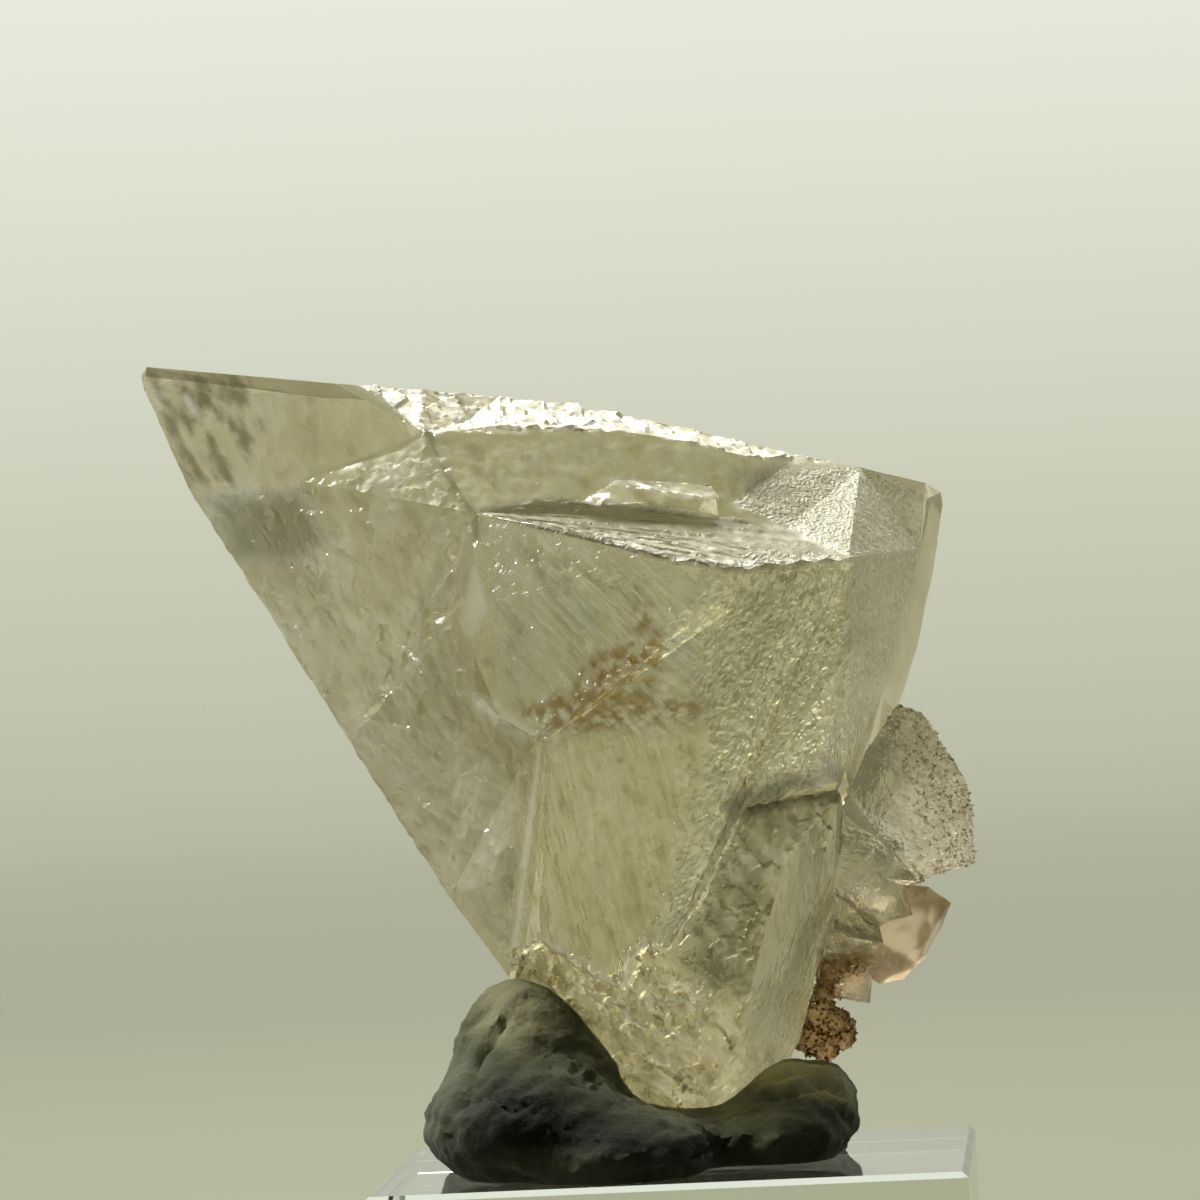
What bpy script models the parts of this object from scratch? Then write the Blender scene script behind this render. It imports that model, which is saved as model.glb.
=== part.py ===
"""A clear crystal specimen with amethyst on its side, stood in mineral putty on a clear display block.

Frame: origin at the centre of the block's underside, +X along the block's front edge, +Y away from
the front, +Z up. Corners are written in millimetres and scaled to metres when a mesh is made.
"""

import math

import bmesh
import bpy
from mathutils import Vector

MM = 0.001

# Driving sizes, in metres
BLOCK_SIDE = 0.050
BLOCK_HEIGHT = 0.015
BLOCK_CHAMFER = 0.0005
GAP = 0.0003
PUTTY_VOXEL = 0.0017
PUTTY_SMOOTHING_PASSES = 6
KNOB_SUBDIVISIONS = 1

# Relief of the ribbed ledge and of the chipped rim, in millimetres
RIB_HEIGHT = 0.3
RIBS_PER_SIDE = 4
RIM_CHIP_DEPTH = 0.5

# Main crystal: a thick blade with a blunt tip at upper left. Corners in millimetres.
TIP_TOP = (-42.5, 1.5, 84.9)
TIP_END = (-43.1, 2.5, 84.2)
TIP_LOW = (-42.8, 1.5, 82.9)

WINDOW_TOP = (-26.0, -3.0, 82.6)
WINDOW_LEFT = (-39.3, 0.5, 74.4)
WINDOW_BOTTOM = (-29.4, -3.0, 74.5)
WINDOW_CORNER = (-18.3, -6.0, 78.0)

# Rim: the skyline from the window to the top right corner, and the foot of its chipped bevel
SKYLINE = [
    (-19.0, 0.0, 81.8),
    (-12.4, 3.0, 80.9),
    (-4.0, 5.0, 79.3),
    (4.5, 6.0, 77.2),
    (12.9, 8.0, 74.7),
    (18.0, 10.0, 73.4),
    (23.5, 13.0, 71.8),
]
RIM_FOOT = [(-12.0, -4.5, 78.4), (-3.6, -3.0, 77.7), (3.9, -1.5, 76.3), (8.9, 0.5, 74.8)]
TOP_RIGHT = (24.8, 13.0, 70.9)
HOLLOW = (8.4, -2.0, 71.5)

# Ribbed ledge: it fans out from one point, and its front edge stands out furthest
FAN_POINT = (-14.0, -10.0, 71.0)
FAN_BACK = [
    (-8.6, -8.0, 71.7),
    (-3.7, -6.5, 71.3),
    (0.4, -5.5, 70.1),
    (4.6, -4.5, 69.6),
    (8.8, -4.0, 69.0),
    (11.8, -4.0, 68.3),
]
FAN_END = (17.1, -7.5, 65.7)
FAN_FRONT = [(-3.4, -13.0, 68.5), (0.9, -14.3, 66.8), (7.4, -15.0, 65.4), (13.2, -12.5, 65.7)]

# Smooth band down the right side: its inner and outer edges
BAND_INNER = [
    (23.6, 10.0, 70.4),
    (22.9, 9.5, 66.2),
    (21.5, 8.5, 60.2),
    (19.3, 5.5, 54.6),
    (15.8, 0.0, 47.5),
]
BAND_OUTER = [
    (24.9, 13.0, 69.8),
    (23.7, 13.0, 63.7),
    (22.1, 12.0, 57.5),
    (20.5, 11.0, 53.2),
    (17.8, 10.0, 47.2),
    (16.0, 9.0, 44.7),
]

# Front plate: its right edge, and the broken edge that it ends in
PLATE_RIGHT = (16.9, -6.5, 57.9)
PLATE_HEEL = (13.8, -5.0, 47.7)
PLATE_NOTCH = (15.1, -1.5, 46.7)
PLATE_EDGE = [
    (7.6, -11.8, 45.9),
    (3.4, -12.0, 37.7),
    (0.7, -12.0, 34.0),
    (-1.1, -12.0, 34.7),
    (-2.7, -12.0, 33.1),
    (-3.5, -11.3, 30.6),
    (-5.3, -11.2, 31.7),
    (-8.6, -10.8, 34.0),
    (-10.2, -10.5, 35.3),
]

# Ridge between the left face and the front plate: a lens-shaped facet, a jog and a narrow strip
LENS_TOP = (-14.2, -10.8, 67.3)
LENS_LEFT = (-15.8, -10.6, 61.9)
LENS_FOOT = (-14.8, -11.2, 59.5)
LENS_RIGHT = (-13.2, -11.8, 63.2)
RIDGE = [(-14.7, -11.5, 56.1), (-12.6, -12.2, 53.8)]
STRIP_LEFT = [(-9.6, -13.0, 52.0), (-11.2, -11.5, 41.0), (-12.7, -9.4, 34.2)]
STRIP_RIGHT = [(-8.8, -13.5, 51.6), (-10.1, -12.4, 41.2), (-11.5, -10.3, 34.4)]

# Left edge, from below the window to where the crystal enters the putty
LEFT_EDGE = [(-26.4, 0.0, 52.0), (-18.4, -1.0, 38.4), (-13.6, -2.0, 31.3)]

# Back: a few large cleavage faces between these corners
BACK_TIP = (-27.0, 8.0, 81.2)
BACK_TOP = [(-8.0, 13.0, 78.4), (12.5, 18.0, 73.0), (21.5, 20.0, 69.1)]
BACK_SIDE = [(18.6, 19.0, 53.9), (15.5, 17.0, 44.5)]
BACK_FOOT = [(2.0, 14.0, 33.0), (-10.0, 7.0, 28.7)]

# Inside the foot, where the plate and the foot are one
PLATE_ROOT = [(14.0, 8.0, 44.0), (8.0, 3.0, 42.0), (3.0, 2.0, 34.0), (-1.0, 1.0, 30.5), (-8.0, 0.0, 30.5)]

# Foot: the lower body, set back behind the plate's broken edge and tapering to a point
FOOT_FRONT = [
    (-12.0, -7.4, 33.6),
    (-8.6, -9.2, 33.6),
    (-1.8, -10.2, 33.4),
    (3.5, -10.2, 37.3),
    (7.6, -9.8, 45.2),
    (15.1, -1.2, 46.0),
]
FOOT_CREASE = [(11.0, -6.5, 41.3), (8.6, -7.2, 34.7), (7.0, -6.8, 29.6), (5.4, -5.0, 24.5), (3.4, -2.5, 19.3)]
FOOT_RIGHT = [
    (15.1, 0.5, 45.6),
    (14.4, 2.0, 39.1),
    (13.3, 3.0, 33.9),
    (11.9, 4.0, 28.8),
    (10.6, 5.0, 24.5),
    (7.8, 4.0, 19.5),
]
FOOT_LEFT = [(-13.2, -2.5, 31.0), (-10.9, -2.0, 29.1), (-9.4, -0.5, 22.9), (-4.2, 1.0, 18.2)]
FOOT_TIP = [(2.3, -0.5, 16.5), (1.6, 3.0, 16.6)]
FOOT_BACK = [(15.2, 15.0, 44.0), (3.0, 13.0, 32.0), (-9.0, 6.0, 27.5), (8.0, 10.0, 22.0), (-2.0, 6.0, 19.0)]

# Bright step that stands on the band above the ribbed ledge
STEP = [
    (-2.3, -4.2, 73.5),
    (5.7, -2.9, 72.4),
    (-2.4, -5.8, 72.9),
    (6.2, -5.0, 71.2),
    (-5.3, -7.2, 71.5),
    (6.2, -5.4, 69.5),
    (-3.6, -7.6, 71.1),
    (0.0, -2.0, 71.5),
]

# Amethyst: a short stout crystal on the right, and a shelf of clear facets under it
AMETHYST = [
    (18.4, 9.0, 53.3),
    (19.6, 9.0, 53.1),
    (22.3, 9.0, 52.0),
    (23.4, 8.0, 50.0),
    (25.7, 8.0, 46.2),
    (26.3, 9.0, 43.4),
    (26.2, 9.0, 38.9),
    (25.0, 6.0, 38.6),
    (21.4, 5.0, 37.8),
    (19.4, 3.0, 40.5),
    (17.0, 1.5, 43.9),
    (15.6, 2.0, 46.3),
    (17.2, 2.6, 49.0),
    (20.6, 3.4, 46.5),
    (16.0, 17.0, 52.0),
    (21.5, 18.0, 50.0),
    (25.0, 17.0, 44.0),
    (24.0, 15.0, 39.5),
    (15.0, 13.0, 40.0),
]

# Clear quartz points: foot, tip, radius
QUARTZ_POINTS = [
    ((12.5, 9.0, 42.0), (22.0, 5.0, 37.6), 3.6),
    ((12.0, 8.5, 40.0), (20.8, 4.6, 34.8), 3.3),
    ((11.5, 8.0, 37.0), (18.2, 3.6, 32.6), 3.0),
    ((11.0, 8.0, 34.5), (17.6, 7.0, 30.6), 2.4),
    ((12.0, 12.0, 33.5), (16.6, 11.0, 27.0), 2.4),
    ((12.0, 13.0, 40.0), (20.6, 14.5, 36.5), 3.4),
    ((10.0, 12.0, 36.0), (17.5, 15.5, 31.5), 3.2),
]

# Brown knobs of fine quartz: centre and radius
KNOBS = [
    ((15.6, 6.0, 31.2), 0.9),
    ((14.2, 5.8, 31.0), 1.3),
    ((12.8, 6.0, 30.0), 1.6),
    ((12.4, 6.6, 28.4), 1.5),
    ((12.0, 7.0, 26.6), 2.0),
    ((13.4, 7.0, 25.8), 1.6),
    ((14.7, 7.0, 25.4), 0.9),
    ((14.2, 7.4, 24.4), 1.3),
    ((12.6, 7.6, 23.8), 1.6),
    ((11.4, 7.0, 24.6), 1.7),
]

# Peach-coloured piece behind the quartz
PEACH = [
    (19.6, 13.0, 37.2),
    (22.2, 12.5, 36.8),
    (23.9, 14.5, 35.2),
    (23.2, 15.5, 33.4),
    (22.0, 13.0, 32.4),
    (21.4, 14.0, 30.6),
    (19.6, 14.5, 28.8),
    (17.4, 13.5, 28.5),
    (14.0, 12.0, 31.0),
    (18.5, 11.6, 34.0),
    (12.0, 15.0, 36.5),
    (13.0, 17.0, 35.5),
    (21.0, 18.5, 35.0),
    (20.0, 18.0, 31.0),
]

# Putty: pressed lumps, as centre and half sizes
PUTTY_LUMPS = [
    ((-12.6, -4.5, 23.6), (6.2, 8.5, 8.2)),
    ((-8.5, -5.5, 21.0), (4.4, 7.0, 5.8)),
    ((-12.4, -9.5, 19.6), (8.6, 13.5, 5.6)),
    ((-14.6, 1.0, 19.0), (6.4, 12.0, 6.4)),
    ((-4.5, -13.5, 16.8), (8.5, 11.0, 3.9)),
    ((0.0, 3.0, 16.2), (13.0, 14.0, 3.6)),
    ((10.3, 3.0, 18.4), (5.6, 10.0, 4.9)),
    ((8.4, -3.5, 17.0), (6.6, 8.5, 3.4)),
    ((-4.0, 8.0, 17.5), (8.0, 7.0, 3.8)),
]

CRYSTAL_COLOUR = (0.60, 0.58, 0.40)
AMETHYST_COLOUR = (0.36, 0.28, 0.30)
PEACH_COLOUR = (0.80, 0.52, 0.36)
PUTTY_COLOUR = (0.075, 0.085, 0.068)
ACRYLIC_COLOUR = (0.86, 0.90, 0.84)


def clear_scene():
    for obj in list(bpy.data.objects):
        bpy.data.objects.remove(obj)


def material(name, colour, roughness, transmission=0.0, ior=1.5):
    made = bpy.data.materials.new(name)
    made.use_nodes = True
    shader = made.node_tree.nodes["Principled BSDF"]
    shader.inputs["Base Color"].default_value = (*colour, 1.0)
    shader.inputs["Roughness"].default_value = roughness
    shader.inputs["Metallic"].default_value = 0.0
    shader.inputs["Transmission Weight"].default_value = transmission
    shader.inputs["IOR"].default_value = ior
    return made


def object_from(name, mesh_data, finish=None):
    """Puts a bmesh into the scene as an object with outward faces."""
    bmesh.ops.recalc_face_normals(mesh_data, faces=mesh_data.faces)
    mesh = bpy.data.meshes.new(name)
    mesh_data.to_mesh(mesh)
    mesh_data.free()
    obj = bpy.data.objects.new(name, mesh)
    bpy.context.scene.collection.objects.link(obj)
    if finish:
        mesh.materials.append(finish)
    return obj


def make_helper(obj):
    """A cutter or a shape that is joined to another: kept as wire and left out of renders."""
    obj.hide_render = True
    obj.display_type = "WIRE"
    return obj


def boolean(target, helper, operation):
    modifier = target.modifiers.new(f"{operation.lower()} {helper.name}", "BOOLEAN")
    modifier.operation = operation
    modifier.solver = "EXACT"
    modifier.object = helper


def hull(name, corners):
    """The convex solid around corners given in millimetres."""
    shape = bmesh.new()
    for corner in corners:
        shape.verts.new(Vector(corner) * MM)
    made = bmesh.ops.convex_hull(shape, input=shape.verts)
    inside = set(made["geom_interior"] + made["geom_unused"])
    bmesh.ops.delete(shape, geom=list(inside), context="VERTS")
    return object_from(name, shape)


def polyhedron(name, faces):
    """A closed solid from faces listed by their corners, where equal corners are one point."""
    shape = bmesh.new()
    points = {}
    for face in faces:
        for corner in face:
            if corner not in points:
                points[corner] = shape.verts.new(Vector(corner) * MM)
        shape.faces.new([points[corner] for corner in face])
    bmesh.ops.triangulate(shape, faces=shape.faces)
    return object_from(name, shape)


def flattened(obj):
    """Replaces an object's modifiers by the mesh that they make."""
    graph = bpy.context.evaluated_depsgraph_get()
    obj.data = bpy.data.meshes.new_from_object(obj.evaluated_get(graph))
    obj.modifiers.clear()


def grown_hull(name, corners):
    """A helper around corners in millimetres, larger by the gap on every side, which cuts a clear gap."""
    step = GAP / MM
    moved = []
    for x, y, z in corners:
        moved += [(x + a, y + b, z + c) for a in (-step, step) for b in (-step, step) for c in (-step, step)]
    return make_helper(hull(name, moved))


def grown(obj):
    """The grown hull of a convex helper."""
    return grown_hull(f"{obj.name} grown", [tuple(vert.co / MM) for vert in obj.data.vertices])


def between(start, end, share):
    return tuple(round(a + (b - a) * share, 4) for a, b in zip(start, end))


def ribbed_line(points, back, down):
    """Points along a line, every second one sunk back or down to make ribs that run across it."""
    line = []
    for start, end in zip(points, points[1:]):
        for rib in range(RIBS_PER_SIDE):
            x, y, z = between(start, end, rib / RIBS_PER_SIDE)
            sunk = rib % 2
            line.append((x, round(y + back * sunk, 4), round(z - down * sunk, 4)))
    return line + [points[-1]]


def fan(centre, edge):
    """Narrow faces from one point to a ribbed edge."""
    return [[centre, a, b] for a, b in zip(edge, edge[1:])]


def upper_faces(right_edge):
    """The window at the tip, the chipped rim, the band below it and the pale face at upper right."""
    upper_right, lower_right = right_edge[: RIBS_PER_SIDE + 1], right_edge[RIBS_PER_SIDE:]
    foot = [WINDOW_CORNER, *RIM_FOOT]
    sky = SKYLINE[:5]
    faces = [
        [TIP_TOP, TIP_END, TIP_LOW],
        [TIP_TOP, TIP_LOW, WINDOW_LEFT, WINDOW_BOTTOM, WINDOW_CORNER, WINDOW_TOP],
        [WINDOW_TOP, WINDOW_CORNER, SKYLINE[0]],
    ]
    for left in range(len(foot) - 1):
        chip = between(foot[left], sky[left + 1], 0.5)
        chip = (chip[0], chip[1] + RIM_CHIP_DEPTH, chip[2] - RIM_CHIP_DEPTH)
        ring = [foot[left], foot[left + 1], sky[left + 1], sky[left]]
        faces += [[a, b, chip] for a, b in zip(ring, ring[1:] + ring[:1])]
    faces += [
        [WINDOW_CORNER, FAN_POINT, FAN_BACK[0], RIM_FOOT[0]],
        [RIM_FOOT[0], FAN_BACK[0], FAN_BACK[1], RIM_FOOT[1]],
        [RIM_FOOT[1], FAN_BACK[1], FAN_BACK[2], FAN_BACK[3], RIM_FOOT[2]],
        [RIM_FOOT[2], FAN_BACK[3], FAN_BACK[4], HOLLOW],
        [RIM_FOOT[2], HOLLOW, RIM_FOOT[3]],
        [RIM_FOOT[3], HOLLOW, SKYLINE[5], SKYLINE[4]],
        [HOLLOW, FAN_BACK[4], FAN_BACK[5], FAN_END, BAND_INNER[1], BAND_INNER[0], SKYLINE[6], SKYLINE[5]],
        [*upper_right, BAND_INNER[2], BAND_INNER[1]],
        [*lower_right, BAND_INNER[4], BAND_INNER[3], BAND_INNER[2]],
        [SKYLINE[6], BAND_INNER[0], TOP_RIGHT],
        [BAND_INNER[0], BAND_INNER[1], BAND_OUTER[0], TOP_RIGHT],
        [BAND_INNER[1], BAND_INNER[2], BAND_OUTER[1], BAND_OUTER[0]],
        [BAND_INNER[2], BAND_INNER[3], BAND_OUTER[2], BAND_OUTER[1]],
        [BAND_INNER[3], BAND_OUTER[3], BAND_OUTER[2]],
        [BAND_INNER[3], BAND_INNER[4], BAND_OUTER[5], BAND_OUTER[4], BAND_OUTER[3]],
    ]
    return faces


def front_faces(ledge_edge, right_edge):
    """The ribbed ledge, the front plate, the lens and strip on the ridge, and the large left face."""
    corner = ledge_edge.index(FAN_FRONT[2])
    last = ledge_edge.index(FAN_FRONT[3])
    return [
        *fan(FAN_POINT, [*ledge_edge, *reversed(FAN_BACK)]),
        *fan(PLATE_EDGE[2], ledge_edge[last:]),
        *fan(PLATE_EDGE[0], [*right_edge, PLATE_NOTCH]),
        [PLATE_EDGE[0], PLATE_EDGE[1], PLATE_EDGE[2], FAN_END],
        [PLATE_HEEL, PLATE_NOTCH, BAND_INNER[4]],
        *fan(LENS_RIGHT, [LENS_TOP, FAN_POINT, *ledge_edge[: corner + 1], RIDGE[1], RIDGE[0], LENS_FOOT]),
        *fan(STRIP_RIGHT[0], [RIDGE[1], *ledge_edge[corner : last + 1], *PLATE_EDGE[2:], STRIP_RIGHT[1]]),
        [STRIP_RIGHT[1], PLATE_EDGE[-1], STRIP_RIGHT[2]],
        [LENS_TOP, LENS_LEFT, LENS_FOOT, LENS_RIGHT],
        [RIDGE[1], STRIP_LEFT[0], STRIP_RIGHT[0]],
        [STRIP_LEFT[0], STRIP_LEFT[1], STRIP_RIGHT[1], STRIP_RIGHT[0]],
        [STRIP_LEFT[1], STRIP_LEFT[2], STRIP_RIGHT[2], STRIP_RIGHT[1]],
        [WINDOW_LEFT, WINDOW_BOTTOM, WINDOW_CORNER, FAN_POINT, LENS_TOP, LENS_LEFT, LEFT_EDGE[0]],
        [LEFT_EDGE[0], LENS_LEFT, LENS_FOOT, RIDGE[0], RIDGE[1], STRIP_LEFT[0], LEFT_EDGE[1]],
        [LEFT_EDGE[1], *STRIP_LEFT, LEFT_EDGE[2]],
    ]


def underside_faces():
    """The plate's broken lower edge, going back into the foot."""
    right, middle_right, middle, middle_left, left = PLATE_ROOT
    return [
        [BAND_INNER[4], PLATE_NOTCH, right, BAND_OUTER[5]],
        [PLATE_NOTCH, PLATE_EDGE[0], middle_right, right],
        [PLATE_EDGE[0], PLATE_EDGE[1], middle, middle_right],
        [*PLATE_EDGE[1:6], middle_left, middle],
        [*PLATE_EDGE[5:], left, middle_left],
        [PLATE_EDGE[-1], STRIP_RIGHT[2], STRIP_LEFT[2], LEFT_EDGE[2], left],
        [LEFT_EDGE[2], left, BACK_FOOT[1]],
        [left, middle_left, middle, BACK_FOOT[0], BACK_FOOT[1]],
        [middle, middle_right, BACK_SIDE[1], BACK_FOOT[0]],
        [middle_right, right, BACK_SIDE[1]],
        [right, BAND_OUTER[5], BACK_SIDE[1]],
    ]


def back_faces():
    return [
        [TIP_TOP, TIP_END, BACK_TIP],
        [TIP_END, TIP_LOW, WINDOW_LEFT, BACK_TIP],
        [WINDOW_LEFT, LEFT_EDGE[0], BACK_TOP[0], BACK_TIP],
        [LEFT_EDGE[0], LEFT_EDGE[1], LEFT_EDGE[2], BACK_FOOT[1], BACK_FOOT[0], BACK_TOP[0]],
        [BACK_TOP[0], BACK_FOOT[0], BACK_SIDE[0], BACK_TOP[2], BACK_TOP[1]],
        [BACK_SIDE[0], BACK_FOOT[0], BACK_SIDE[1]],
        [TOP_RIGHT, BAND_OUTER[0], BACK_TOP[2]],
        [BAND_OUTER[0], BAND_OUTER[1], BAND_OUTER[2], BACK_SIDE[0], BACK_TOP[2]],
        [*BAND_OUTER[2:], BACK_SIDE[1], BACK_SIDE[0]],
        [TIP_TOP, WINDOW_TOP, SKYLINE[0], BACK_TIP],
        [SKYLINE[0], SKYLINE[1], BACK_TOP[0], BACK_TIP],
        [SKYLINE[1], SKYLINE[2], BACK_TOP[0]],
        [SKYLINE[2], SKYLINE[3], SKYLINE[4], BACK_TOP[1], BACK_TOP[0]],
        [SKYLINE[4], SKYLINE[5], SKYLINE[6], TOP_RIGHT, BACK_TOP[2], BACK_TOP[1]],
    ]


def foot_corners():
    return [*FOOT_FRONT, *FOOT_CREASE, *FOOT_RIGHT, *FOOT_LEFT, *FOOT_TIP, *FOOT_BACK]


def main_crystal_cutters():
    """Convex shapes that cover the main crystal where other pieces meet it."""
    side = [PLATE_RIGHT, PLATE_HEEL, PLATE_NOTCH, *BAND_INNER, *BAND_OUTER, *BACK_SIDE, *PLATE_ROOT[:2]]
    lower = [*LEFT_EDGE[1:], *STRIP_LEFT[1:], *STRIP_RIGHT[1:], *PLATE_EDGE, *BACK_FOOT, *BACK_SIDE]
    return [
        grown_hull("side grown", side),
        grown_hull("lower plate grown", lower),
        grown_hull("foot grown", foot_corners()),
    ]


def make_main_crystal(finish):
    ledge_edge = ribbed_line(FAN_FRONT, 0, RIB_HEIGHT)[:-1]
    ledge_edge += ribbed_line([FAN_FRONT[3], FAN_END], RIB_HEIGHT, RIB_HEIGHT)
    right_edge = ribbed_line([FAN_END, PLATE_RIGHT, PLATE_HEEL], RIB_HEIGHT, 0)
    faces = upper_faces(right_edge) + front_faces(ledge_edge, right_edge) + underside_faces() + back_faces()
    crystal = polyhedron("calcite_crystal", faces)
    boolean(crystal, make_helper(hull("foot", foot_corners())), "UNION")
    boolean(crystal, make_helper(hull("bright step", STEP)), "UNION")
    flattened(crystal)
    crystal.data.materials.clear()
    crystal.data.materials.append(finish)


def quartz_point(name, foot, tip, radius):
    """A six-sided prism with a pyramid on its end."""
    foot, tip = Vector(foot), Vector(tip)
    along = (tip - foot).normalized()
    side = along.cross(Vector((0, 0, 1))).normalized()
    other = along.cross(side)
    shoulder = tip - along * radius * 1.1
    corners = [tip]
    for number in range(6):
        angle = math.radians(60 * number + 15)
        ray = side * math.cos(angle) * radius + other * math.sin(angle) * radius
        corners += [foot + ray, shoulder + ray]
    return make_helper(hull(name, corners))


def knob(name, centre, radius):
    shape = bmesh.new()
    bmesh.ops.create_icosphere(shape, subdivisions=KNOB_SUBDIVISIONS, radius=radius * MM)
    bmesh.ops.translate(shape, verts=shape.verts, vec=Vector(centre) * MM)
    return make_helper(object_from(name, shape))


def make_amethyst(finish, neighbours):
    """The amethyst with the quartz and the knobs that it overlaps, and cutters of their shapes."""
    cluster = hull("amethyst_cluster", AMETHYST)
    cutters = [grown_hull("amethyst grown", AMETHYST)]
    for number, (foot, tip, radius) in enumerate(QUARTZ_POINTS, 1):
        point = quartz_point(f"quartz point {number}", foot, tip, radius)
        boolean(cluster, point, "UNION")
        cutters.append(grown(point))
    for number, (centre, radius) in enumerate(KNOBS, 1):
        lump = knob(f"knob {number}", centre, radius)
        boolean(cluster, lump, "UNION")
        cutters.append(grown(lump))
    for neighbour in neighbours:
        boolean(cluster, neighbour, "DIFFERENCE")
    flattened(cluster)
    cluster.data.materials.clear()
    cluster.data.materials.append(finish)
    return cutters


def make_peach_piece(finish, neighbours):
    piece = hull("peach_crystal", PEACH)
    for neighbour in neighbours:
        boolean(piece, neighbour, "DIFFERENCE")
    flattened(piece)
    piece.data.materials.clear()
    piece.data.materials.append(finish)
    return piece


def make_putty(finish, neighbours):
    shape = bmesh.new()
    for centre, half_sizes in PUTTY_LUMPS:
        made = bmesh.ops.create_icosphere(shape, subdivisions=3, radius=MM)
        bmesh.ops.scale(shape, vec=Vector(half_sizes), verts=made["verts"])
        bmesh.ops.translate(shape, vec=Vector(centre) * MM, verts=made["verts"])
    putty = object_from("mineral_putty", shape, finish)
    remesh = putty.modifiers.new("one lump", "REMESH")
    remesh.mode = "VOXEL"
    remesh.voxel_size = PUTTY_VOXEL
    smooth = putty.modifiers.new("rounded", "SMOOTH")
    smooth.iterations = PUTTY_SMOOTHING_PASSES
    floor = bmesh.new()
    bmesh.ops.create_cube(floor, size=1.0)
    bmesh.ops.scale(floor, vec=Vector((0.1, 0.1, 0.04)), verts=floor.verts)
    bmesh.ops.translate(floor, vec=Vector((0, 0, BLOCK_HEIGHT + GAP - 0.02)), verts=floor.verts)
    boolean(putty, make_helper(object_from("block top", floor)), "DIFFERENCE")
    for neighbour in neighbours:
        boolean(putty, neighbour, "DIFFERENCE")
    return putty


def make_block(finish):
    shape = bmesh.new()
    bmesh.ops.create_cube(shape, size=1.0)
    bmesh.ops.scale(shape, vec=Vector((BLOCK_SIDE, BLOCK_SIDE, BLOCK_HEIGHT)), verts=shape.verts)
    bmesh.ops.translate(shape, vec=Vector((0, 0, BLOCK_HEIGHT / 2)), verts=shape.verts)
    block = object_from("acrylic_block", shape, finish)
    bevel = block.modifiers.new("polished edges", "BEVEL")
    bevel.width = BLOCK_CHAMFER
    bevel.segments = 1
    return block


def main():
    clear_scene()
    make_main_crystal(material("pale calcite", CRYSTAL_COLOUR, 0.15, 0.9, 1.6))
    crystal_cutters = main_crystal_cutters()
    amethyst_finish = material("amethyst", AMETHYST_COLOUR, 0.2, 0.7, 1.54)
    cluster_cutters = make_amethyst(amethyst_finish, crystal_cutters)
    peach_finish = material("peach crystal", PEACH_COLOUR, 0.3, 0.5, 1.6)
    make_peach_piece(peach_finish, crystal_cutters + cluster_cutters)
    make_putty(material("grey-green putty", PUTTY_COLOUR, 0.6), crystal_cutters + cluster_cutters)
    make_block(material("clear acrylic", ACRYLIC_COLOUR, 0.05, 0.95, 1.49))


main()
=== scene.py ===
# %% [markdown]
# A pale crystal on its display block
#
# The specimen is a thick, pale straw crystal, see-through and a little hazy, with a small amethyst
# grown on its right side. Its lower point is pressed into dark putty, and the putty stands on a
# clear acrylic block. The solids come packed with their real sizes, so this lesson only gives them
# their fine surface and their finishes, and never moves them.

# %% Load the solids
import math

import bmesh
import bpy
import numpy as np
from mathutils import Matrix, Vector, noise
from mathutils.bvhtree import BVHTree


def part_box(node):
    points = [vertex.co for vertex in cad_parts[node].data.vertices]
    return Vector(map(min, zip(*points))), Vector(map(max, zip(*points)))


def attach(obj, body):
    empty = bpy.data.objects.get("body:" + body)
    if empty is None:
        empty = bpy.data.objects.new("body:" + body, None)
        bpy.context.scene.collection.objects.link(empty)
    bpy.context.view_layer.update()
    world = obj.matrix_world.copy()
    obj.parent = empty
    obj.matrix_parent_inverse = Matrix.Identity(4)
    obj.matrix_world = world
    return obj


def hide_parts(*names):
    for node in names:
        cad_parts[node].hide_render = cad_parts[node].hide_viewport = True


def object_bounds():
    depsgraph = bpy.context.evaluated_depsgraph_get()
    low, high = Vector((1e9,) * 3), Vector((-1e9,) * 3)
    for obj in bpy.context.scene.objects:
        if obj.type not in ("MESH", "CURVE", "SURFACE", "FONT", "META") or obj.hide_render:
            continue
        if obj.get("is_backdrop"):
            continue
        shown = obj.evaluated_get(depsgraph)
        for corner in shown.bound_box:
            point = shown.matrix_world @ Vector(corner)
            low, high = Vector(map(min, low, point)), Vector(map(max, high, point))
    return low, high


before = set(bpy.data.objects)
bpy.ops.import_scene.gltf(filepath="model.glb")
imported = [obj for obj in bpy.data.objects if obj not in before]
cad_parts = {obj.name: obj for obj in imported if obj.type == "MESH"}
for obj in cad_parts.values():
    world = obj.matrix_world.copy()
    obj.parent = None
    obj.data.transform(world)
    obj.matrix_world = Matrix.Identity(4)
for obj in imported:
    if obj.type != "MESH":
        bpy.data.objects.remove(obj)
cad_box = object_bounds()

MM = 0.001
print("solids:", ", ".join(sorted(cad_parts)))
print("size in mm:", [round(size / MM, 1) for size in cad_box[1] - cad_box[0]])

# %% [markdown]
# The camera
#
# The photograph was taken with a long lens, almost level with the specimen. The block is square
# and 50 mm wide, and the slopes of its two visible edges give the camera's turn, tilt and roll.
# The picture is taken as 1200 pixels square, so a focal length of 8000 pixels is a 240 mm lens on
# a 36 mm wide sensor.

# %% Camera
PICTURE_SIDE = 1200
FOCAL_PIXELS = 8000
SENSOR_WIDTH = 36.0
CAMERA_TURN = math.radians(3.38)
CAMERA_DIP = math.radians(0.46)
CAMERA_ROLL = math.radians(2.75)
CAMERA_DISTANCE = 683 * MM
CAMERA_SIDESTEP = 4.45 * MM
CAMERA_LIFT = 48.1 * MM
NEAREST_SEEN = 0.01
FARTHEST_SEEN = 20

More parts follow.
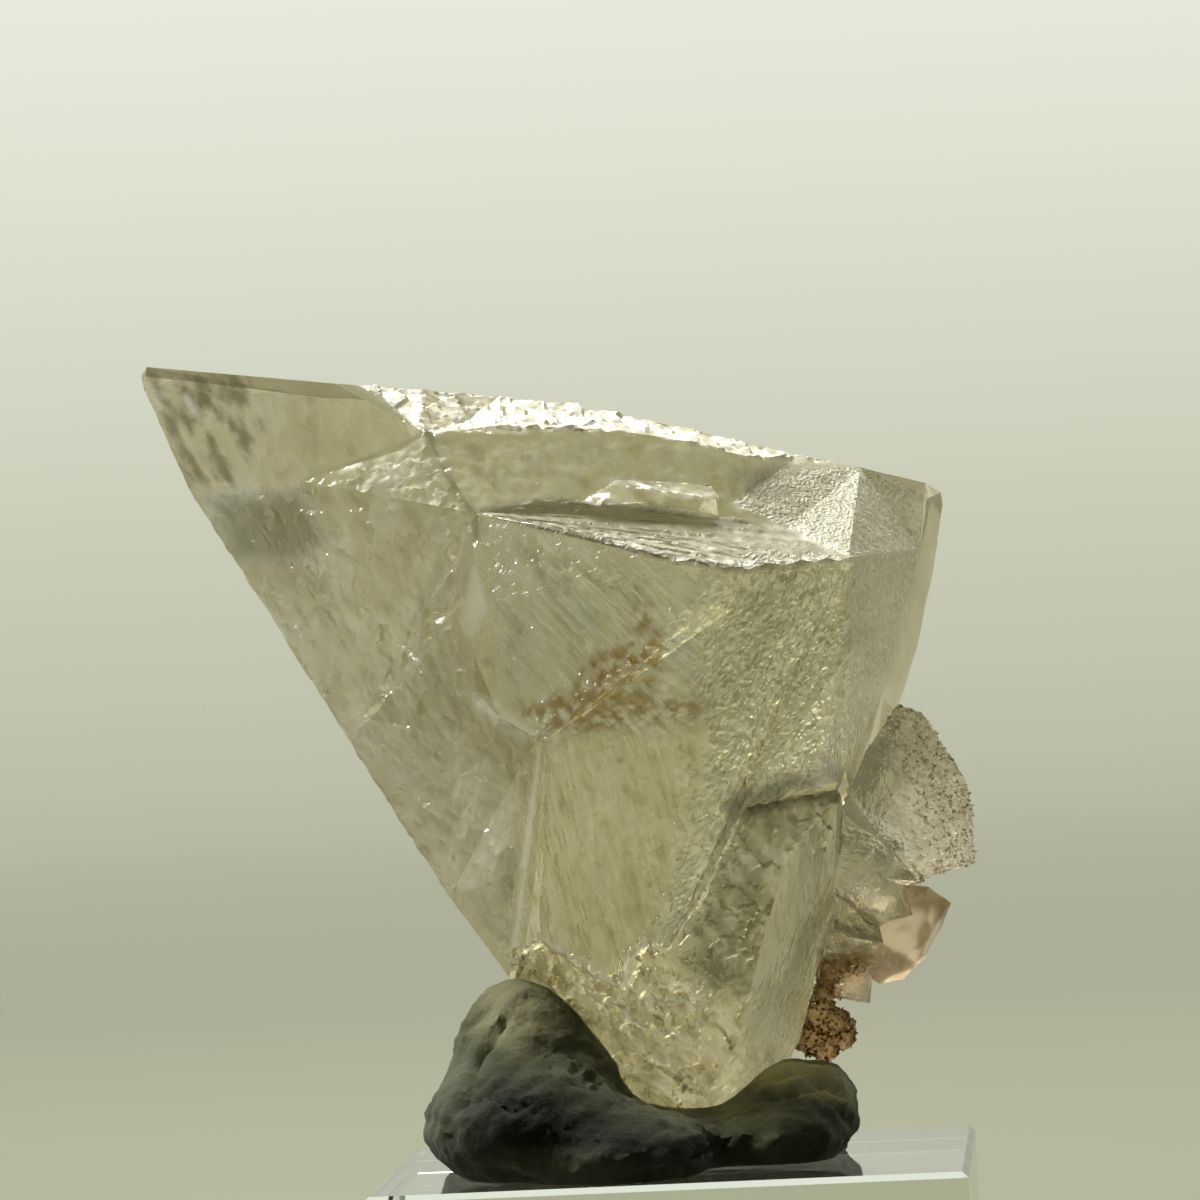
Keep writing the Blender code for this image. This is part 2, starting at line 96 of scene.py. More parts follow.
block_low, block_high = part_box("acrylic_block")
block_top = block_high.z
ahead = Vector((-math.sin(CAMERA_TURN) * math.cos(CAMERA_DIP),
                math.cos(CAMERA_TURN) * math.cos(CAMERA_DIP),
                -math.sin(CAMERA_DIP)))
level_right = Vector((math.cos(CAMERA_TURN), math.sin(CAMERA_TURN), 0))
level_up = level_right.cross(ahead)
eye = Vector((0, 0, block_top)) - ahead * CAMERA_DISTANCE
eye = eye - level_right * CAMERA_SIDESTEP + level_up * CAMERA_LIFT
seen_right = level_right * math.cos(CAMERA_ROLL) - level_up * math.sin(CAMERA_ROLL)
seen_up = level_up * math.cos(CAMERA_ROLL) + level_right * math.sin(CAMERA_ROLL)

camera = bpy.data.objects.new("camera", bpy.data.cameras.new("camera"))
camera.data.sensor_width = SENSOR_WIDTH
camera.data.lens = FOCAL_PIXELS / PICTURE_SIDE * SENSOR_WIDTH
camera.data.clip_start = NEAREST_SEEN
camera.data.clip_end = FARTHEST_SEEN
turn = Matrix((seen_right, seen_up, -ahead)).transposed().to_4x4()
camera.matrix_world = Matrix.Translation(eye) @ turn
bpy.context.scene.collection.objects.link(camera)
bpy.context.scene.camera = camera
bpy.context.scene.view_settings.view_transform = "Standard"
print("lens", round(camera.data.lens), "mm, camera", round(eye.length / MM), "mm from the block")


# %% [markdown]
# Helpers for nodes and colours
#
# Every finish is built from shader nodes. One function turns a hex colour into the linear numbers
# that Blender wants, and one adds a node with its settings and links. The others start and end a
# material, and lay colours over each other as a painter lays glazes.

# %% Node helpers
def colour(code):
    """A linear colour from an sRGB hex code."""
    parts = [int(code[start:start + 2], 16) / 255 for start in (1, 3, 5)]
    linear = [part / 12.92 if part <= 0.04045 else ((part + 0.055) / 1.055) ** 2.4 for part in parts]
    return (*linear, 1.0)


def add(tree, kind, inputs=(), **settings):
    """Adds a node. Inputs, by name or in order, are values, or nodes or sockets to link from."""
    node = tree.nodes.new(kind if "Node" in kind else "ShaderNode" + kind)
    for name, value in settings.items():
        setattr(node, name, value)
    for name, value in inputs.items() if isinstance(inputs, dict) else enumerate(inputs):
        if isinstance(value, bpy.types.Node):
            value = value.outputs[0]
        if isinstance(value, bpy.types.NodeSocket):
            tree.links.new(value, node.inputs[name])
        else:
            node.inputs[name].default_value = value
    return node


def set_stops(ramp, stops):
    """Gives a colour ramp its stops, each a place and a hex colour."""
    elements = ramp.color_ramp.elements
    while len(elements) < len(stops):
        elements.new(1.0)
    for element, (place, code) in zip(elements, stops):
        element.position = place
        element.color = colour(code)
    return ramp


def layered(tree, base, layers):
    """Lays colours over a base, each as strongly as its share says."""
    for share, shade in layers:
        base = add(tree, "Mix", {0: share, 6: base, 7: shade}, data_type="RGBA").outputs[2]
    return base


def start_material(name, values, stored=()):
    """A material with its shader's plain values set, and the values stored on the mesh."""
    made = bpy.data.materials.new(name)
    made.use_nodes = True
    tree = made.node_tree
    shader = tree.nodes["Principled BSDF"]
    for socket, value in values.items():
        shader.inputs[socket].default_value = value
    place = add(tree, "TexCoord").outputs["Object"]
    marks = {mark: add(tree, "Attribute", attribute_name=mark).outputs["Fac"] for mark in stored}
    return made, tree, place, marks


def end_material(made, links, body=None):
    """Links nodes to the shader's sockets. A see-through body has a tint and a depth of tint."""
    tree = made.node_tree
    for socket, source in links.items():
        source = source.outputs[0] if isinstance(source, bpy.types.Node) else source
        tree.links.new(source, tree.nodes["Principled BSDF"].inputs[socket])
    if body:
        tint = add(tree, "VolumeAbsorption", {"Color": colour(body[0]), "Density": body[1]})
        tree.links.new(tint.outputs[0], tree.nodes["Material Output"].inputs["Volume"])
    return made


def grain(place, size, detail=3.0, roughness=0.55):
    """Noise settings for bumps up to size millimetres wide."""
    return {"Vector": place, "Scale": 1 / (size * MM), "Detail": detail, "Roughness": roughness}

# %% [markdown]
# The studio
#
# The background is one seamless pale sweep with no horizon. A round cove does that from every
# side: a flat floor that curves up into a wall. Its outer part glows softly, as paper lit through
# from behind does, brighter towards the top and behind the specimen, and darker in front of it,
# because the photograph is lit from behind and above. Near the block the floor is plain matte, so
# it takes shadows. One large soft light stands behind and above, and a smaller one at the upper
# left brings out the chipped rim and the left side of the putty.

# %% Cove
COVE_FLOOR = 1.0
COVE_ARC = 0.8
COVE_HEIGHT = 1.3
COVE_SIDES = 96
COVE_DROP = 0.1 * MM
FLOOR_RINGS = (0.0, 0.3, 0.6, COVE_FLOOR)
ARC_STEPS = 16
WELD = 0.01 * MM


def cove_profile():
    points = [(radius, -COVE_DROP) for radius in FLOOR_RINGS]
    for step in range(1, ARC_STEPS + 1):
        angle = math.radians(90 * step / ARC_STEPS)
        points.append((COVE_FLOOR + COVE_ARC * math.sin(angle), COVE_ARC * (1 - math.cos(angle))))
    return points + [(COVE_FLOOR + COVE_ARC, COVE_HEIGHT)]


def make_cove():
    shape = bmesh.new()
    line = [shape.verts.new((radius, 0, height)) for radius, height in cove_profile()]
    edges = [shape.edges.new(pair) for pair in zip(line, line[1:])]
    bmesh.ops.spin(shape, geom=line + edges, cent=(0, 0, 0), axis=(0, 0, 1),
                   angle=2 * math.pi, steps=COVE_SIDES)
    bmesh.ops.remove_doubles(shape, verts=shape.verts, dist=WELD)
    bmesh.ops.recalc_face_normals(shape, faces=shape.faces)
    floor = min(shape.faces, key=lambda face: face.calc_center_median().length)
    if floor.normal.z < 0:
        bmesh.ops.reverse_faces(shape, faces=shape.faces)
    mesh = bpy.data.meshes.new("cove")
    shape.to_mesh(mesh)
    shape.free()
    mesh.shade_smooth()
    cove = bpy.data.objects.new("cove", mesh)
    bpy.context.scene.collection.objects.link(cove)
    cove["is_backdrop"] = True
    return cove


cove = make_cove()
print("cove", round(2 * (COVE_FLOOR + COVE_ARC), 1), "m across")

# %% Cove finish
GLOW_STOPS = [(0.00, "#a6a892"), (0.33, "#b0b29b"), (0.46, "#c8cab5"),
              (0.60, "#e9ebdd"), (0.75, "#f4f5ea"), (1.00, "#fbfbf4")]
GLOW_REACH = 3.0
GLOW_STARTS = 0.05
GLOW_FULL = 0.6
FLOOR_GLOW = 0.55
# Facing is 1 straight behind the specimen, 0 at its sides and -1 in front.
SIDE_FACING = 0.2
BACK_FACING = 0.97
FRONT_SHARE = 0.06
SEEN_SHARE = 0.86
SMALLEST_RADIUS = 0.001


def back_share(tree, x, y):
    """How strongly the paper glows: full at the back and weak at the front."""
    squares = [add(tree, "Math", (side, side), operation="MULTIPLY") for side in (x, y)]
    radius = add(tree, "Math", [add(tree, "Math", squares)], operation="SQRT")
    divisor = add(tree, "Math", (radius, SMALLEST_RADIUS), operation="MAXIMUM")
    facing = add(tree, "Math", (y, divisor), operation="DIVIDE")
    share = add(tree, "MapRange", {"Value": facing, "From Min": SIDE_FACING, "From Max": BACK_FACING,
                                   "To Min": FRONT_SHARE}, interpolation_type="SMOOTHSTEP")
    return share, radius


def cove_finish():
    """Paper that glows by itself far out, and is plain matte near the block."""
    made = bpy.data.materials.new("backlit paper sweep")
    made.use_nodes = True
    made.cycles.emission_sampling = "NONE"
    tree = made.node_tree
    place = add(tree, "SeparateXYZ", [add(tree, "TexCoord").outputs["Object"]])
    share, radius = back_share(tree, place.outputs["X"], place.outputs["Y"])
    seen = add(tree, "Math", (add(tree, "LightPath").outputs["Is Camera Ray"], SEEN_SHARE),
               operation="MULTIPLY")
    share = add(tree, "Math", (share, seen), operation="MAXIMUM")
    along = add(tree, "Math", (radius, place.outputs["Z"]))
    along = add(tree, "Math", (along, GLOW_REACH), operation="DIVIDE")
    shade = set_stops(add(tree, "ValToRGB", [along]), GLOW_STOPS)
    glow = add(tree, "Emission", {"Color": shade, "Strength": share})
    matte = add(tree, "BsdfDiffuse", {"Color": colour("#8e907f"), "Roughness": 0.3})
    outer = add(tree, "MapRange", {"Value": radius, "From Min": GLOW_STARTS, "From Max": GLOW_FULL,
                                   "To Min": FLOOR_GLOW}, interpolation_type="SMOOTHSTEP")
    mixed = add(tree, "MixShader", (outer, matte, glow))
    tree.nodes.remove(tree.nodes["Principled BSDF"])
    tree.links.new(mixed.outputs[0], tree.nodes["Material Output"].inputs["Surface"])
    return made


cove.data.materials.append(cove_finish())
print("glow from", GLOW_STOPS[0][1], "to", GLOW_STOPS[-1][1])

# %% Sky and lights
SKY_FACING = (-0.4, 0.7)
SKY_STRENGTH = (0.03, 0.75)
LIGHT_AIM = (0, 0, 0.05)
LIGHTS = [("key from behind and above", (-0.25, 0.5, 1.15), 0.7, 28.0),
          ("side light from the upper left", (-0.85, -0.1, 1.0), 0.35, 16.0)]


def make_sky():
    """Soft light from above, stronger from behind."""
    world = bpy.data.worlds.new("soft light")
    world.use_nodes = True
    tree = world.node_tree
    direction = add(tree, "SeparateXYZ", [add(tree, "TexCoord").outputs["Generated"]])
    share = add(tree, "MapRange", {"Value": direction.outputs["Y"],
                                   "From Min": SKY_FACING[0], "From Max": SKY_FACING[1],
                                   "To Min": SKY_STRENGTH[0], "To Max": SKY_STRENGTH[1]},
                interpolation_type="SMOOTHSTEP")
    background = tree.nodes["Background"]
    background.inputs["Color"].default_value = colour("#fbfbf2")
    tree.links.new(share.outputs[0], background.inputs["Strength"])
    bpy.context.scene.world = world


def soft_box(name, place, side, power):
    """A square light that faces the middle of the crystal."""
    light = bpy.data.lights.new(name, "AREA")
    light.size = side
    light.energy = power
    light.color = colour("#fffdf2")[:3]
    lamp = bpy.data.objects.new(name, light)
    aim = Vector(LIGHT_AIM) - Vector(place)
    lamp.matrix_world = Matrix.Translation(place) @ aim.to_track_quat("-Z", "Y").to_matrix().to_4x4()
    bpy.context.scene.collection.objects.link(lamp)


make_sky()
for light_values in LIGHTS:
    soft_box(*light_values)
print(len(LIGHTS), "soft lights")

# %% [markdown]
# Placing marks as the picture shows them
#
# The marks on a natural crystal follow no rule, so they are placed where the picture shows them.
# Each point of the crystal that faces the camera is projected to a picture point, and an outline
# drawn in picture pixels then says which region it belongs to. The result is stored on the mesh,
# so it stays on the crystal when it is seen from any other side.

# %% Picture helpers
# A point counts as front while its normal leans towards the camera, and a little past the outline.
FRONT_SLOPE = 6
FRONT_START = 0.4


class Points:
    """A mesh's points as arrays: millimetres, normals, and their places in the picture."""

    def __init__(self, mesh):
        count = len(mesh.vertices)
        flat = np.empty(count * 3)
        mesh.vertices.foreach_get("co", flat)
        self.mm = flat.reshape(-1, 3) / MM
        flat = np.empty(count * 3)
        mesh.vertices.foreach_get("normal", flat)
        self.normal = flat.reshape(-1, 3)
        ray = self.mm * MM - np.array(eye)
        depth = ray @ np.array(ahead)
        self.u = PICTURE_SIDE / 2 + FOCAL_PIXELS * (ray @ np.array(seen_right)) / depth
        self.v = PICTURE_SIDE / 2 - FOCAL_PIXELS * (ray @ np.array(seen_up)) / depth
        facing = -(self.normal @ np.array(ahead))
        self.front = np.clip(facing * FRONT_SLOPE + FRONT_START, 0, 1)

    def to_line(self, line):
        """Distance from a line of picture points, in pixels."""
        best = np.full(len(self.u), np.inf)
        for (x, y), (next_x, next_y) in zip(line, line[1:]):
            dx, dy = next_x - x, next_y - y
            along = np.clip(((self.u - x) * dx + (self.v - y) * dy) / (dx * dx + dy * dy), 0, 1)
            best = np.minimum(best, np.hypot(self.u - x - along * dx, self.v - y - along * dy))
        return best

    def inside(self, outline, soft=8.0):
        """1 on the front inside an outline of picture points, 0 outside, with a soft edge."""
        ring = outline + outline[:1]
        within = np.zeros(len(self.u), bool)
        for (x, y), (next_x, next_y) in zip(ring, ring[1:]):
            crossed = (y > self.v) != (next_y > self.v)
            within ^= crossed & (self.u < x + (self.v - y) * (next_x - x) / ((next_y - y) or 1e-9))
        distance = self.to_line(ring) * np.where(within, 1, -1)
        return np.clip(distance / soft + 0.5, 0, 1) * self.front

    def near(self, line, width):
        """1 on a line of picture points, falling to 0 at width pixels from it."""
        return np.clip(1 - self.to_line(line) / width, 0, 1) * self.front


def bumps(places, size, seed, octaves=3):
    """Smooth noise about -1 to 1; size is its widest bump in millimetres, or one size for each axis."""
    shift = np.array((seed * 17.3, seed * 5.1, seed * 9.7))
    scaled = places / np.array(size) + shift
    return np.array([noise.fractal(Vector(place), 0.9, 2.0, octaves) for place in scaled])


def broken(places, size, seed):
    """Flat chips about size millimetres wide, each tilted its own way, as a broken surface is."""
    scaled = places / np.array(size) + seed * 7.7
    heights = []
    for place in scaled:
        centre = noise.voronoi(Vector(place))[1][0]
        tilt = noise.cell_vector(centre * 31.7)
        heights.append((Vector(place) - centre).dot(tilt))
    return np.array(heights)


def ridged(values):
    """Sharp crests from smooth noise."""
    return 1 - 2 * np.abs(values)


# %% [markdown]
# A finer skin
#
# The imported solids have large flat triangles. To carry relief, a copy of each is merged and its
# long edges are halved again and again until all are short. That keeps flat faces flat and corners
# sharp, which a voxel remesh would not. The length asked for depends on the place: short on the
# front, where the marks are, and longer at the back.

# %% Mesh helpers
WELD_SOLID = 0.001 * MM


def halve_longest(points, faces, wanted_length):
    """Halves the longest edge of each triangle, again and again, until all are short enough."""
    while True:
        corners = points[faces]
        sides = np.linalg.norm(corners - np.roll(corners, -1, axis=1), axis=2)
        order = (sides.argmax(1)[:, None] + np.arange(3)) % 3
        faces = np.take_along_axis(faces, order, axis=1)
        middles = points[faces[:, :2]].mean(1)
        too_long = sides.max(1) > wanted_length(middles)
        if not too_long.any():
            return points, faces
        ends = np.sort(faces[:, [[0, 1], [1, 2], [2, 0]]], axis=2).astype(np.int64)
        edges, edge_of = np.unique(ends[..., 0] * len(points) + ends[..., 1], return_inverse=True)
        edge_of = edge_of.reshape(-1, 3)
        marked = np.zeros(len(edges), bool)
        marked[edge_of[too_long, 0]] = True
        count = 0
        while count != marked.sum():
            count = marked.sum()
            marked[edge_of[marked[edge_of].any(1), 0]] = True
        number = np.full(len(edges), -1)
        number[marked] = len(points) + np.arange(count)
        halved = edges[marked]
        added = (points[halved // len(points)] + points[halved % len(points)]) / 2
        first, second, third = faces.T
        base, right, left = number[edge_of].T
        points = np.concatenate([points, added])
        cut = base >= 0
        pieces = [faces[~cut]]
        for pair, far_middle in (((base, second, third), right), ((first, base, third), left)):
            whole = cut & (far_middle < 0)
            pieces.append(np.stack(pair, 1)[whole])
        both = cut & (right >= 0)
        pieces += [np.stack(three, 1)[both] for three in ((base, second, right), (base, right, third))]
        both = cut & (left >= 0)
        pieces += [np.stack(three, 1)[both] for three in ((first, base, left), (left, base, third))]
        faces = np.concatenate(pieces)


def fine_copy(node, name, wanted_length):
    """A merged, refined copy of a solid. wanted_length gives the longest edge in mm round some places."""
    shape = bmesh.new()
    shape.from_mesh(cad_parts[node].data)
    bmesh.ops.remove_doubles(shape, verts=shape.verts, dist=WELD_SOLID)
    points = np.array([vertex.co for vertex in shape.verts]) / MM
    shape.verts.index_update()
    faces = np.array([[vertex.index for vertex in face.verts] for face in shape.faces])
    shape.free()
    points, faces = halve_longest(points, faces, wanted_length)
    mesh = bpy.data.meshes.new(name)
    mesh.from_pydata((points * MM).tolist(), [], faces.tolist())
    mesh.update()
    piece = bpy.data.objects.new(name, mesh)
    bpy.context.scene.collection.objects.link(piece)
    return piece


def displace(mesh, points, height):
    """Moves each point along its normal by a height in millimetres."""
    moved = (points.mm + points.normal * height[:, None]) * MM
    mesh.vertices.foreach_set("co", moved.ravel())
    mesh.update()


def store(mesh, name, values):
    layer = mesh.attributes.new(name, "FLOAT", "POINT")
    layer.data.foreach_set("value", np.clip(values, 0, 1).astype(np.float32))


def finish_piece(piece, node, material, sharp_angle=40):
    """The calls that every finished piece needs."""
    piece.data.shade_smooth()
    piece.data.set_sharp_from_angle(angle=math.radians(sharp_angle))
    piece.data.materials.clear()
    piece.data.materials.append(material)
    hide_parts(node)
    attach(piece, "root")
    print(piece.name, len(piece.data.polygons), "triangles")


# %% [markdown]
# The pale crystal: regions of its surface
#
# The outlines are picture points. The crystal has a clear window at its tip, a chipped rim, a band
# under it, a ribbed ledge that fans out from one point, a finely pitted face and a smooth side
# band at the right, a front plate that is smooth in its middle and granular at its right, a broken
# foot, and a large left face with gentle hackle.

# %% Regions
WINDOW = [(130, 355), (335, 376), (380, 393), (425, 435), (400, 451), (300, 482), (186, 490)]
RIM = [(335, 372), (500, 385), (700, 418), (870, 462), (800, 462), (750, 457), (690, 444), (650, 433),
       (600, 431), (525, 432), (450, 430), (415, 437), (375, 397)]
SHELF = [(430, 437), (690, 446), (750, 458), (740, 500), (660, 508), (540, 498), (475, 512)]
FAN_CENTRE = (470, 513)
FAN = [(475, 510), (540, 497), (660, 506), (786, 528), (850, 558), (800, 564), (764, 569), (730, 572),
       (700, 566), (652, 558), (600, 541), (540, 530)]
PITTED = [(735, 505), (760, 470), (860, 466), (926, 495), (921, 548), (907, 618), (884, 685), (848, 770),
          (822, 775), (838, 650), (850, 560), (800, 532)]
GRANULAR = [(745, 570), (850, 560), (838, 650), (822, 770), (790, 790), (745, 800), (725, 860), (672, 946),
            (655, 938), (700, 800), (712, 700), (705, 640)]
PANEL = [(540, 735), (700, 735), (700, 800), (655, 938), (622, 985), (560, 950), (515, 960), (532, 800)]
UPPER_PLATE = [(475, 515), (600, 541), (700, 568), (745, 572), (705, 640), (712, 700), (700, 735), (540, 735),
               (500, 700), (487, 605)]
LOWER_RIGHT = [(745, 800), (838, 792), (832, 860), (790, 850), (765, 930), (750, 990), (700, 990), (672, 948),
               (725, 860)]
FOOT = [(513, 955), (560, 950), (622, 988), (648, 938), (700, 990), (750, 990), (735, 1050), (712, 1110),
        (703, 1140), (600, 1105), (540, 1005)]
LOWER_BAND = [(838, 800), (835, 870), (825, 930), (800, 1040), (790, 1066), (740, 1115), (705, 1140),
              (715, 1110), (735, 1050), (750, 990), (765, 930), (790, 850)]
LEFT_FACE = [(186, 492), (300, 484), (400, 453), (430, 440), (475, 515), (462, 560), (458, 640), (475, 700),
             (540, 735), (530, 800), (513, 955), (545, 1008), (340, 760), (190, 500)]
LENS = [(475, 560), (460, 620), (470, 645), (488, 607)]
STRIP = [(541, 733), (536, 800), (528, 870), (516, 955), (508, 955), (520, 870), (530, 800)]
RIPPLES = [(255, 500), (320, 505), (345, 640), (300, 600), (260, 540)]
STAIN = [(504, 706), (540, 702), (575, 680), (596, 650), (628, 640), (636, 606), (652, 604), (664, 640),
         (666, 674), (652, 690), (702, 700), (704, 718), (660, 724), (600, 734), (545, 734)]
BUBBLES = [(612, 683, 12), (592, 675, 10), (640, 670, 12), (652, 652, 8), (570, 700, 7), (628, 664, 6)]
VEILS = [[(556, 590), (600, 600), (606, 640), (580, 640)], [(648, 618), (700, 640), (706, 690), (668, 670)]]
SPARKLING_PATCH = [(310, 448), (425, 432), (470, 505), (440, 540), (380, 510)]
PALE_LEFT = [(340, 700), (440, 740), (520, 800), (505, 950), (400, 830)]
TIP_SHADE = [(141, 367), (250, 372), (268, 430), (238, 488), (186, 488)]
LEFT_SHADE = [(205, 496), (300, 492), (328, 540), (300, 565), (235, 562)]
DARK_STRIP = [(500, 845), (518, 845), (514, 905), (500, 900)]
GROOVE = [(430, 435), (445, 470), (460, 500), (475, 515), (475, 540)]
GLARE = [(735, 470), (800, 462), (852, 472), (852, 560), (790, 545), (735, 520)]
PLATE_CREASE = [(541, 735), (640, 660), (746, 568)]
HEEL_LINE = [(740, 806), (790, 792), (840, 785)]
SPECKS = [(487, 662), (778, 682), (793, 818), (695, 1122), (620, 760)]
CRESCENTS = [(370, 590), (420, 600), (432, 742), (380, 748)]
STEP_LINE = [(614, 478), (663, 488), (688, 495), (721, 501)]
FAN_LIP = [(600, 539), (652, 555), (700, 565), (764, 567), (848, 560)]
RAGGED_LINE = [(738, 508), (770, 520), (800, 530), (830, 545), (850, 560)]
RIDGE = [(468, 690), (500, 702), (541, 735), (520, 742), (480, 714)]
TOOTH = [(806, 752), (816, 794), (837, 779), (830, 755)]
LEDGE_LINE = [(515, 965), (540, 936), (560, 950), (622, 988), (630, 955), (648, 938), (660, 950)]
SHORT_LINE = [(650, 1002), (682, 1003)]
GLINT = [(185, 398), (195, 413)]

# Millimetres: depth of the seen side, height that the putty hides, and edge lengths.
SEEN_DEPTH = 9
PUTTY_HIDES = 17
SEEN_EDGE = 0.5
HIDDEN_EDGE = 1.2


def crystal_edge_length(places):
    """Short edges on the front, longer ones behind and in the putty."""
    hidden = (places[:, 1] > SEEN_DEPTH) | (places[:, 2] < PUTTY_HIDES)
    return np.where(hidden, HIDDEN_EDGE, SEEN_EDGE)


crystal = fine_copy("calcite_crystal", "pale_crystal", crystal_edge_length)
skin = Points(crystal.data)
print("crystal skin:", len(crystal.data.polygons), "triangles")

# %% [markdown]
# The pale crystal: relief
#
# Each region has its own kind of relief, from what made it: broken faces are tilted chips, etched
# faces are ripples and pits, and growth faces are ribs and steps. Heights are real ones, from a
# few hundredths of a millimetre on the etched faces to half a millimetre on the chipped rim.


# %% Relief
RIBS_PER_RADIAN = 46
RIB_LENGTH = 260


def fan_ribs(points):
    """Ribs that run out from the fan's centre: noise that changes quickly with angle only."""
    angle = np.arctan2(points.v - FAN_CENTRE[1], points.u - FAN_CENTRE[0])
    reach = np.hypot(points.u - FAN_CENTRE[0], points.v - FAN_CENTRE[1])
    places = np.stack([angle * RIBS_PER_RADIAN, reach / RIB_LENGTH, np.zeros(len(angle))], 1)
    return ridged(bumps(places, 1.0, 3, 3))


def slanted(points, lean, across, along, seed):
    """Noise drawn out along a slanted direction in the picture; sizes in millimetres."""
    x, z = points.mm[:, 0], points.mm[:, 2]
    side, down = math.cos(lean), math.sin(lean)
    places = [(x * side + z * down) / across, (z * side - x * down) / along, points.mm[:, 1] / across]
    return bumps(np.stack(places, 1), 1.0, seed, 3)


def crystal_relief(points):
    """The height of each point in millimetres. Each region has an outline, a soft edge and a relief."""
    places = points.mm
    hackle = bumps(places, 3.2, 1, 4)
    fine = bumps(places, 0.9, 2, 3)
    chips = broken(places, 2.2, 1)
    small_chips = broken(places, 1.0, 2)
    regions = [(LEFT_FACE, 14, 0.16 * ridged(hackle) + 0.14 * chips + 0.06 * fine),
               (RIPPLES, 20, 0.12 * ridged(slanted(points, 0.5, 0.7, 2.0, 4))),
               (RIM, 6, 0.45 * chips + 0.12 * small_chips - 0.1),
               (SHELF, 8, 0.12 * hackle + 0.05 * fine),
               (FAN, 5, 0.11 * fan_ribs(points) + 0.04 * fine),
               (PITTED, 8, 0.08 * small_chips + 0.05 * fine),
               (GRANULAR, 20, 0.20 * ridged(slanted(points, -0.35, 0.5, 1.6, 5)) + 0.16 * small_chips),
               (UPPER_PLATE, 20, 0.12 * ridged(slanted(points, 0.75, 1.0, 4.0, 6)) + 0.06 * fine),
               (PANEL, 16, 0.14 * ridged(slanted(points, 0.05, 1.6, 14.0, 7))),
               (LOWER_RIGHT, 8, 0.40 * chips + 0.12 * small_chips),
               (FOOT, 8, 0.8 * chips + 0.2 * small_chips - 0.05),
               (LOWER_BAND, 8, 0.05 * slanted(points, -0.25, 0.8, 9.0, 8))]
    height = 0.05 * hackle + 0.03 * fine
    for outline, soft, region_relief in regions:
        height += points.inside(outline, soft) * region_relief
    height += 0.15 * points.near(FAN_LIP, 8) * (1 + chips)
    height += 0.25 * points.near(LEDGE_LINE, 8) - 0.3 * points.near(GROOVE, 8)
    height += 0.1 * points.near(PLATE_CREASE, 24) * (chips + small_chips)
    return height


relief = crystal_relief(skin)
FLATTENED = 0.97
keep_flat = np.maximum.reduce([skin.inside(WINDOW, 4), skin.inside(LENS, 4), skin.inside(STRIP, 3)])
relief *= 1 - FLATTENED * keep_flat
displace(crystal.data, skin, relief)
print("relief from", round(relief.min(), 2), "to", round(relief.max(), 2), "mm")

# %% [markdown]
# The pale crystal: where its finish changes
#
# One crystal shows many finishes: polished at the tip, frosted on the etched faces, stained ochre
# in one crack, veiled with blue where tiny cracks scatter light, and white along broken edges. Some
# marks are painted light and shade instead: painted highlights along bright edges and facets and one
# painted glint, and painted shade in the groove, at the dark tip and over the lit fan ledge and glare
# corner. Each of these is a value from 0 to 1 stored on the mesh, made from the outlines above, and
# the material reads it by name. Such values need no picture, and they follow the surface.

# %% Marks on the crystal
def strongest(areas, lines=()):
    """The strongest at each point, of areas (share, outline, soft edge) and lines (share, line, width)."""
    marks = [share * skin.inside(outline, soft) for share, outline, soft in areas]
    marks += [share * skin.near(line, width) for share, line, width in lines]
    return np.maximum.reduce(marks)


def stain_marks():
    """An ochre stain in specks, with rings where bubbles dried."""
    specks = np.clip(bumps(skin.mm, 1.0, 11, 4) * 2.2 + 0.7, 0, 1)
    ochre = skin.inside(STAIN, 16) * specks
    for u, v, radius in BUBBLES:
        distance = np.hypot(skin.u - u, skin.v - v)
        ring = np.exp(-((distance - radius) / RING_WIDTH) ** 2) * skin.front
        ochre = np.where(distance < radius, ochre * 0.7, ochre) + ring * 0.5
    return 0.9 * ochre


# Widths in picture points, and the ledge's depth in millimetres.
RING_WIDTH = 2.6
SPECK_WIDTH = 7
HEEL_WIDTH = 24
HEEL_DEPTH = 8
patchy = np.clip(0.5 + 1.8 * slanted(skin, 0.5, 1.2, 3.5, 12), 0, 1)
ragged = np.clip(0.6 + 1.5 * bumps(skin.mm, 1.1, 13, 3), 0, 1)
grained = np.clip(2.5 * skin.inside(GRANULAR, 80) * (0.4 + 0.9 * patchy) - 0.45, 0, 1)
heel = np.clip(1 - skin.to_line(HEEL_LINE) / HEEL_WIDTH, 0, 1) * (skin.mm[:, 1] < HEEL_DEPTH)
ribs = fan_ribs(skin) * 0.5 + 0.5
stain = stain_marks()
print("stained share of the skin:", round(float((stain > 0.1).mean()), 3))

# %% Darker tone and painted shade, dullness and haze
# shade darkens the straw colour towards olive. In the bands, foot, lower right, left face, window and panel it
# only darkens. In the groove and heel line, at the tip's dark reflections, and over the fan ledge and glare
# corner where the key light catches, it is painted shade. The specks are real dark inclusions.
shade = strongest([(0.4 + 0.6 * patchy, TIP_SHADE, 14), (0.9, LEFT_SHADE, 26), (0.5 * patchy, RIPPLES, 24),
                   (0.9, DARK_STRIP, 8), (0.85, LOWER_BAND, 30), (0.35 * patchy, FOOT, 20),
                   (0.95 * (0.5 + 0.5 * patchy), LOWER_RIGHT, 30), (0.33, LEFT_FACE, 30),
                   (0.75 + 0.25 * ribs ** 2, FAN, 6), (0.45, WINDOW, 8), (0.45, GLARE, 12), (0.15, PANEL, 16)],
                  [(0.8, GROOVE, 9)])
shade = np.maximum(shade, np.minimum(heel, 0.1))
for u, v in SPECKS:
    shade = np.maximum(shade, 1 - np.hypot(skin.u - u, skin.v - v) / SPECK_WIDTH)
